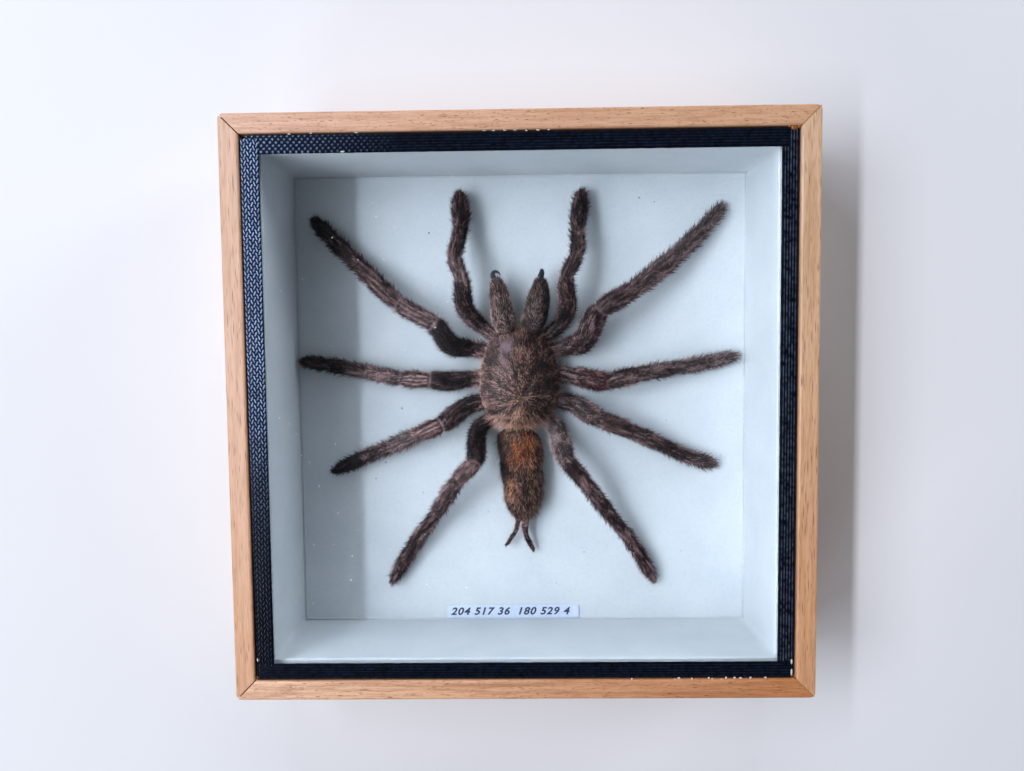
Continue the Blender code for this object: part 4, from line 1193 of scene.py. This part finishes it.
def add_carapace():
    shape = bmesh.new()
    bmesh.ops.create_uvsphere(shape, u_segments=120, v_segments=72, radius=1.0)
    shape.verts.index_update()
    places = np.array([shield_place(v.co, -0.45) for v in shape.verts])
    # A ball's faces come in another order at each run, and hairs are drawn face by face
    faces = sorted(ordered(face) for face in shape.faces)
    shape.free()
    skin = mesh_object("skin_carapace", places * MM, faces)
    roughen(skin, places, (0.22, 2.2, 5), (0.14, 0.8, 6))

    x, y, z = places.T
    away = places[:, :2] - FOVEA
    reach, heading = np.hypot(*away.T), np.arctan2(away[:, 1], away[:, 0])
    grown = np.column_stack([away / np.maximum(reach, 0.3)[:, None], -0.25 * np.ones(len(away))])
    patch = roughness_of(places, 2.0, 8)
    streaks = streaks_from_pit(heading, reach, 5.5, 5)
    fine = streaks_from_pit(heading, reach, 15, 2.4)

    def spot(px, py, size):
        far = np.hypot((x - px), (y - py) * 0.85) / size + 0.35 * patch
        return np.clip((1.2 - far) / 0.7, 0, 1)

    bald = np.maximum(spot(-4.1, 16.6, 1.9), 0.5 * spot(-5.8, 11.4, 2.6) * np.clip(0.6 + 1.6 * streaks, 0, 1))
    round_pit = 1.2 * bump(np.hypot((x - FOVEA[0]) * 0.6, y - FOVEA[1] + 0.3), 0.9)
    at_rear = np.clip((0.2 - y) / 7, 0, 0.75) * np.clip(1.2 - np.abs(x + 0.6) / 6, 0, 1)
    golden = np.clip(np.maximum(round_pit, at_rear) * (0.9 + 0.7 * patch), 0, 1)
    beside_eyes = bump(np.hypot(x + 2.9, (y - 18.0) * 0.7), 1.2)
    beside_eyes = beside_eyes + bump(np.hypot(x - 1.0, (y - 17.6) * 0.6), 1.6)
    # Painted shade: the fur darkens towards the right, away from the window, and along the low rim except on
    # the left
    dark = 0.02 + 0.4 * np.clip((x - 0.5) / 4, 0, 1) + 0.2 * patch + 0.5 * beside_eyes - 0.5 * golden
    shaded_rim = np.clip((EDGE_HEIGHT + 1.6 - z) / 1.6, 0, 1) * np.clip((x + 5) / 4, 0, 1)
    dark = np.clip(np.clip(dark, 0, 1) + 0.4 * shaded_rim * (1 - golden), 0, 1)
    upper = np.clip((z - EDGE_HEIGHT + 1.2) / 0.8, 0, 1)
    fringe = np.clip((-1.5 - y) / 4, 0, 1) * np.clip((2.4 - np.abs(z - EDGE_HEIGHT - 0.2)) / 0.6, 0, 1)
    fringe = np.maximum(fringe, 0.15 * np.clip((1.4 - np.abs(z - EDGE_HEIGHT)) / 0.5, 0, 1))
    crest = np.clip(bump(x + 0.4, 2.2) * np.clip((y + 6) / 4, 0, 1) + golden, 0, 1)
    crest = np.clip(crest + 0.1 + 0.5 * patch, 0, 1) * (1 - bald)
    # Painted sheen: the left side is tinted grey and its skin made lighter where the window falls, and the
    # skin darkens towards the right
    paint(skin, along=grown, bald=np.clip(bald + 0.5 * (1 - upper), 0, 1), shell=bald,
          no_fringe=1 - fringe, no_crest=1 - crest,
          clump=np.clip(0.49 + 0.45 * streaks + 0.6 * fine + 0.15 * crest + 0.25 * patch, 0, 1),
          tan=np.clip(golden * (0.8 + 0.6 * fine), 0, 1), dark=np.where(z < EDGE_HEIGHT - 1.8, 0.85, dark),
          red=np.full(len(x), 0.2), grey=0.3 * np.clip(-x / 5, 0, 1), pale=np.zeros(len(x)),
          tip=np.where(upper > 0, 0.25 - 0.16 * np.clip(x / 4, 0, 1), 0))
    passes = [("shield_fringe", 50, "no_fringe"), ("shield_crest", 52, "no_crest"), ("shield_short", 51)]
    grow_fur(skin, "carapace_furred", SHELL_FUR, "carapace_brown", passes, "cephalothorax")
    return places


def shell_fur():
    """The body's fur with bare, violet-grey shell where the hairs have worn off."""
    material = BODY_FUR.copy()
    material.name = "worn_shell_with_fur"
    add = functools.partial(add_node, material.node_tree)
    shader = material.node_tree.nodes["Principled BSDF"]
    hue = shader.inputs["Base Color"].links[0].from_socket
    shell = add("mix", add("noise", in_mm(add, 0.9), Scale=1.0, Detail=3.0), "#4b383b", "#836c75")
    wire(shader, Base_Color=add("mix", "shell", hue, shell),
         Roughness=add("range", "shell", To_Min=0.6, To_Max=0.3))
    return material


SHELL_FUR = shell_fur()
SHIELD = add_carapace()

# %% [markdown]
# ## Hind body
#
# The abdomen is an egg that has shrunk in drying. Its fur is longer and lies backwards, with
# a rusty patch on top near the front and another, smaller one behind it, and a dark left
# flank. The spinnerets behind it are two short jointed fingers.

# %% Abdomen
def rounding(from_end, share, squareness):
    inwards = 1 - np.minimum(from_end / share, 1)
    return (1 - inwards**squareness) ** (1 / squareness)


def add_abdomen(around=64, count=84):
    ends = 0.5 - 0.5 * np.cos(np.linspace(0.06, math.pi - 0.06, count))
    angles = np.linspace(0, 2 * math.pi, around, endpoint=False)
    t, a = np.meshgrid(ends, angles, indexing="ij")
    full = rounding(t, 0.2, 2.3) * rounding(1 - t, 0.38, 2.3) * (1 - 0.2 * t)
    full = full * (1 + 0.05 * np.sin(5 * a + 9 * t) + 0.04 * np.sin(3 * a - 17 * t))
    full = full * (1 - 0.05 * bump(a - math.pi / 2, 0.35) * bump(t - 0.45, 0.3))
    x = -1.4 + 1.7 * np.minimum(2 * t, 1) + (6.9 * full - 0.5) * np.cos(a)
    z = np.maximum(9.9 + (4.2 * full - 0.4) * np.sin(a), FLOOR_TOP + 0.5)
    rings = np.stack([x, -7.0 - t * 28.0, z], -1)
    points = np.vstack([rings.reshape(-1, 3), rings[0].mean(0), rings[-1].mean(0)])
    faces = ring_faces(count, around, [(0, count * around), (count - 1, count * around + 1)])
    skin = mesh_object("skin_abdomen", points * MM, faces)
    roughen(skin, points, (0.22, 2.6, 9), (0.1, 0.9, 10))

    px, py = points[:, 0], points[:, 1]
    patch = roughness_of(points, 1.6, 12)
    fine = roughness_of(points * (1, 0.45, 1), 0.6, 13)
    top = np.clip((points[:, 2] - 10.0) / 2, 0, 1)
    front = np.clip(1.35 - np.hypot((px + 0.6) / 4.9, (py + 12.5) / 6.2) + 0.7 * patch, 0, 1)
    spot = np.clip(1.3 - np.hypot((px + 2.8) / 2.3, (py + 24.4) / 4.2) + 0.45 * patch, 0, 1)
    rust = 1.3 * top * np.maximum(front, 0.45 * spot)
    flank = bump(px + 5.9, 2.6) * bump(py + 14.5, 7.0)
    crosswise = bump(py + 20.0, 1.2) * 0.35
    dark = np.clip(0.32 + 1.2 * flank + 0.5 * patch - 0.75 * rust + 0.3 * (1 - top) + crosswise, 0, 1)
    sideways = np.clip((px + 0.5) / 14, -0.4, 0.4)
    grown = np.column_stack([sideways, -np.ones(len(px)), -0.15 * np.ones(len(px))])
    paint(skin, along=grown, bald=0 * px, rust=rust, dark=dark, red=np.full(len(px), 0.15),
          tan=np.clip(0.2 + 0.7 * patch + 0.5 * spot, 0, 1) * (1 - dark),
          clump=np.clip(0.48 + 0.8 * fine + 0.4 * patch, 0, 1))
    grow_fur(skin, "abdomen_furred", BODY_FUR, "rusty_fur", [("abdomen_short", 61), ("abdomen_long", 62)],
             "abdomen")


add_abdomen()

# %% [markdown]
# ## Chelicerae, fangs and spinnerets
#
# The two jaws in front are stout furry pieces, tan-grey with a darker inner side, and each
# carries a curved fang of glossy black chitin at its tip. They and the spinnerets are swept
# like the legs, from a few places and radii.

# %% Short tapering pieces
SHORT_PIECES = {
    "chelicera_left": ((-4.4, 21.0, 8.2, 1.7), (-4.5, 22.1, 9.9, 3.1), (-4.7, 23.5, 11.9, 3.6),
        (-5.1, 25.5, 13.4, 3.5), (-5.6, 28.8, 14.1, 3.2), (-6.1, 31.8, 13.9, 2.75), (-6.5, 33.9, 13.3, 2.25),
        (-6.7, 35.0, 12.9, 1.7), (-6.8, 35.4, 12.8, 1.0)),
    "chelicera_right": ((3.2, 21.2, 8.0, 1.8), (3.3, 22.3, 9.6, 3.3), (3.6, 23.7, 11.7, 3.85),
        (4.25, 25.5, 13.4, 3.8), (5.0, 28.8, 14.1, 3.5), (5.5, 31.8, 13.9, 2.95), (5.8, 33.9, 13.3, 2.3),
        (5.9, 34.9, 12.9, 1.7), (5.9, 35.3, 12.8, 1.0)),
    "spinneret_left": ((-1.2, -34.3, 9.5, 0.75), (-1.7, -37.0, 9.3, 0.72), (-2.1, -38.6, 9.0, 0.66),
        (-3.1, -40.2, 8.6, 0.66), (-4.1, -41.8, 8.2, 0.6), (-4.9, -42.9, 7.9, 0.42), (-5.1, -43.2, 7.8, 0.2)),
    "spinneret_right": ((0.8, -34.7, 9.5, 1.05), (0.8, -37.4, 9.3, 1.0), (0.9, -39.4, 9.0, 0.86),
        (1.5, -41.2, 8.6, 0.82), (2.3, -42.9, 8.2, 0.76), (3.1, -44.4, 7.8, 0.55), (3.3, -44.8, 7.7, 0.25)),
}


def fine_line(rows, step):
    """Smooth places and radii through a few given ones."""
    rows = np.array(rows)
    line = [2 * rows[0] - rows[1], *rows, 2 * rows[-1] - rows[-2]]
    fine = []
    for index in range(len(rows) - 1):
        count = max(2, round(np.linalg.norm(rows[index + 1][:3] - rows[index][:3]) / step))
        fine += [smooth_between(line[index : index + 4], k / count) for k in range(count)]
    fine = np.array([*fine, rows[-1]])
    return fine[:, :3], fine[:, 3]


def add_short_piece(name, seed, fur, slot, shrink, coats, masks):
    places, radii = fine_line(SHORT_PIECES[name], 0.35)
    angles = np.linspace(0, 2 * math.pi, 28, endpoint=False)[None, :]
    folds = 1 + 0.02 * np.sin(6 * angles + seed + places[:, 1:2] / 3)
    skin, grown = sweep("skin_" + name, places, np.maximum(radii[:, None] - shrink, 0.15) * folds)
    flat = np.array([v.co for v in skin.data.vertices]) / MM
    roughen(skin, flat, (0.1, 1.1, seed))
    share = to_points(np.linspace(0, 1, len(places))[:, None] + 0 * angles)
    side = to_points(np.cos(angles) + 0 * places[:, :1])
    clump = np.clip(0.48 + 1.0 * roughness_of(flat * (1, 0.25, 1), 0.5, seed + 6), 0, 1)
    patch = roughness_of(flat, 1.5, seed + 3)
    paint(skin, along=grown, bald=0 * share, clump=clump, **masks(share, side, patch))
    grow_fur(skin, name + "_furred", fur, slot, [(coat, seed) for coat in coats], name)


def jaw_masks(stripe, shade):
    """A jaw's fur has one dark stripe along it, at a place from -1 to 1 across, and a dark tip."""
    def masks(share, side, patch):
        tip = np.clip((share - 0.86) * 8, 0, 1)
        dark = np.clip(shade + 0.6 * bump(side - stripe, 0.35) + 0.6 * patch + 0.7 * tip, 0, 1)
        return {"dark": dark, "grey": np.clip(0.45 - 0.3 * share + 0.4 * patch, 0, 1),
                "red": 0.15 + 0.3 * share**3}
    return masks


def finger_masks(share, side, patch):
    """A spinneret's fur is tan at its root and darkens to the tip."""
    return {"dark": np.clip(0.5 * share - 0.05 + 0.3 * patch, 0, 1), "tan": np.clip(0.3 - 0.5 * share, 0, 1)}


for name, seed, stripe, shade in (("chelicera_left", 71, 0.5, -0.2), ("chelicera_right", 72, 0.85, 0.4)):
    add_short_piece(name, seed, GREY_FUR, "grey_brown_fur", 0.4, ("jaw_short", "jaw_long"),
                    jaw_masks(stripe, shade))
for name, seed in (("spinneret_left", 81), ("spinneret_right", 82)):
    add_short_piece(name, seed, LEG_FUR, "dark_fur", 0.12, ("finger",), finger_masks)

# %% Fangs
def glossy_chitin():
    material, shader, add = new_material("glossy_black_chitin", IOR=1.56)
    patch = add("noise", in_mm(add, 0.7), Scale=1.0)
    wire(shader, Base_Color=add("mix", patch, "#0c0e16", "#242a3a"),
         Roughness=add("range", patch, To_Min=0.4, To_Max=0.6))
    return material


def add_fang(node):
    shape = bmesh.new()
    shape.from_mesh(nodes[node].data)
    bmesh.ops.remove_doubles(shape, verts=shape.verts, dist=0.005 * MM)
    bmesh.ops.recalc_face_normals(shape, faces=shape.faces)
    fang = from_bmesh(node + "_polished", shape)
    smooth = fang.modifiers.new("smooth horn", "SUBSURF")
    smooth.levels = smooth.render_levels = 2
    finish_piece(fang, CHITIN, "black_claw", node)


CHITIN = glossy_chitin()
add_fang("fang_left")
add_fang("fang_right")

# %% [markdown]
# ## Eyes
#
# Eight small eyes sit in two rows on the mound behind the jaws, like drops of dark glass.
# Each is set on the highest point of the shield's skin at its place.

# %% Eye balls
EYES = ((-0.4, 0.45, 0.42), (0.4, 0.45, 0.42), (-1.15, 0.5, 0.5), (1.15, 0.5, 0.5), (-1.2, -0.25, 0.42),
        (1.2, -0.25, 0.42), (-0.65, -0.2, 0.3), (0.65, -0.2, 0.3))
MOUND = (-1.1, 19.0)


def add_eyes():
    upper = SHIELD[SHIELD[:, 2] > EDGE_HEIGHT]
    balls = []
    for across, along, width in EYES:
        x, y = MOUND[0] + across, MOUND[1] + along
        nearest = np.argsort(np.hypot(upper[:, 0] - x, upper[:, 1] - y))[:3]
        balls.append((x, y, upper[nearest, 2].mean() + 0.45, width, width, width))
    add_drops("eyes", balls, CHITIN, "carapace_brown")


add_eyes()

# %% [markdown]
# ## Dust
#
# A few dark crumbs have settled on the paper, and pale specks on the pane, where the window
# lights them. One small tree scatters an uneven fleck over a hidden sheet just above each,
# and only the flecks are kept.

# %% Flecks
DUST_INPUTS = {"Per square cm": "Float", "Smallest": "Float", "Largest": "Float", "Length": "Float",
               "Seed": "Int", "Dust": "Material"}


def dust_tree():
    tree, add, given = new_tree("dust_on_paper", DUST_INPUTS)
    seed = given["Seed"]
    scatter = add("GeometryNodeDistributePointsOnFaces", Mesh=given["Geometry"], Seed=seed,
                  Density=add("times", given["Per square cm"], 1e4))
    width = add("times", add("random", given["Smallest"], given["Largest"], Seed=seed), MM)
    size = add("ShaderNodeCombineXYZ", add("times", width, given["Length"]), width, width)
    turn = add("random", (-0.2, -0.2, 0.0), (0.2, 0.2, 6.28), Seed=seed, data_type="FLOAT_VECTOR")
    ball = add("GeometryNodeMeshIcoSphere", Radius=0.5, Subdivisions=1)
    flecks = add("GeometryNodeInstanceOnPoints", scatter.outputs["Points"], Instance=ball, Rotation=turn,
                 Scale=size)
    real = add("GeometryNodeRealizeInstances", flecks)
    add("NodeGroupOutput", add("GeometryNodeSetMaterial", real, Material=given["Dust"]))
    return tree


DUST = dust_tree()
PANE_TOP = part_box("glass")[1].z / MM
# Each kind: how many per square cm, smallest and largest in mm, length against width and seed;
# its sheet's corners and height; its material's name and two tones
DUSTS = {
    "dark_flecks": ((0.2, 0.14, 0.42, 1.8, 5), (-62, -62, 62, 62), FLOOR_TOP + 0.26,
                    ("brown_dust", 1.5, "#2a2220", "#6a5a50")),
    "pale_flecks": ((0.9, 0.12, 0.42, 1.6, 8), (-64, -56, -14, 64), PANE_TOP + 0.12,
                    ("white_dust", 1.5, "#b9bec4", "#e6eaee")),
}
for name, (numbers, (x0, y0, x1, y1), z, tones) in DUSTS.items():
    corners = np.array([(x0, y0, z), (x1, y0, z), (x1, y1, z), (x0, y1, z)])
    sheet = mesh_object("dust_sheet", corners * MM, [(0, 1, 2, 3)])
    values = dict(zip(DUST_INPUTS, (*numbers, two_tone(*tones, Roughness=0.9))))
    finish_piece(run_tree(DUST, sheet, name, [values]), None, "white_card")
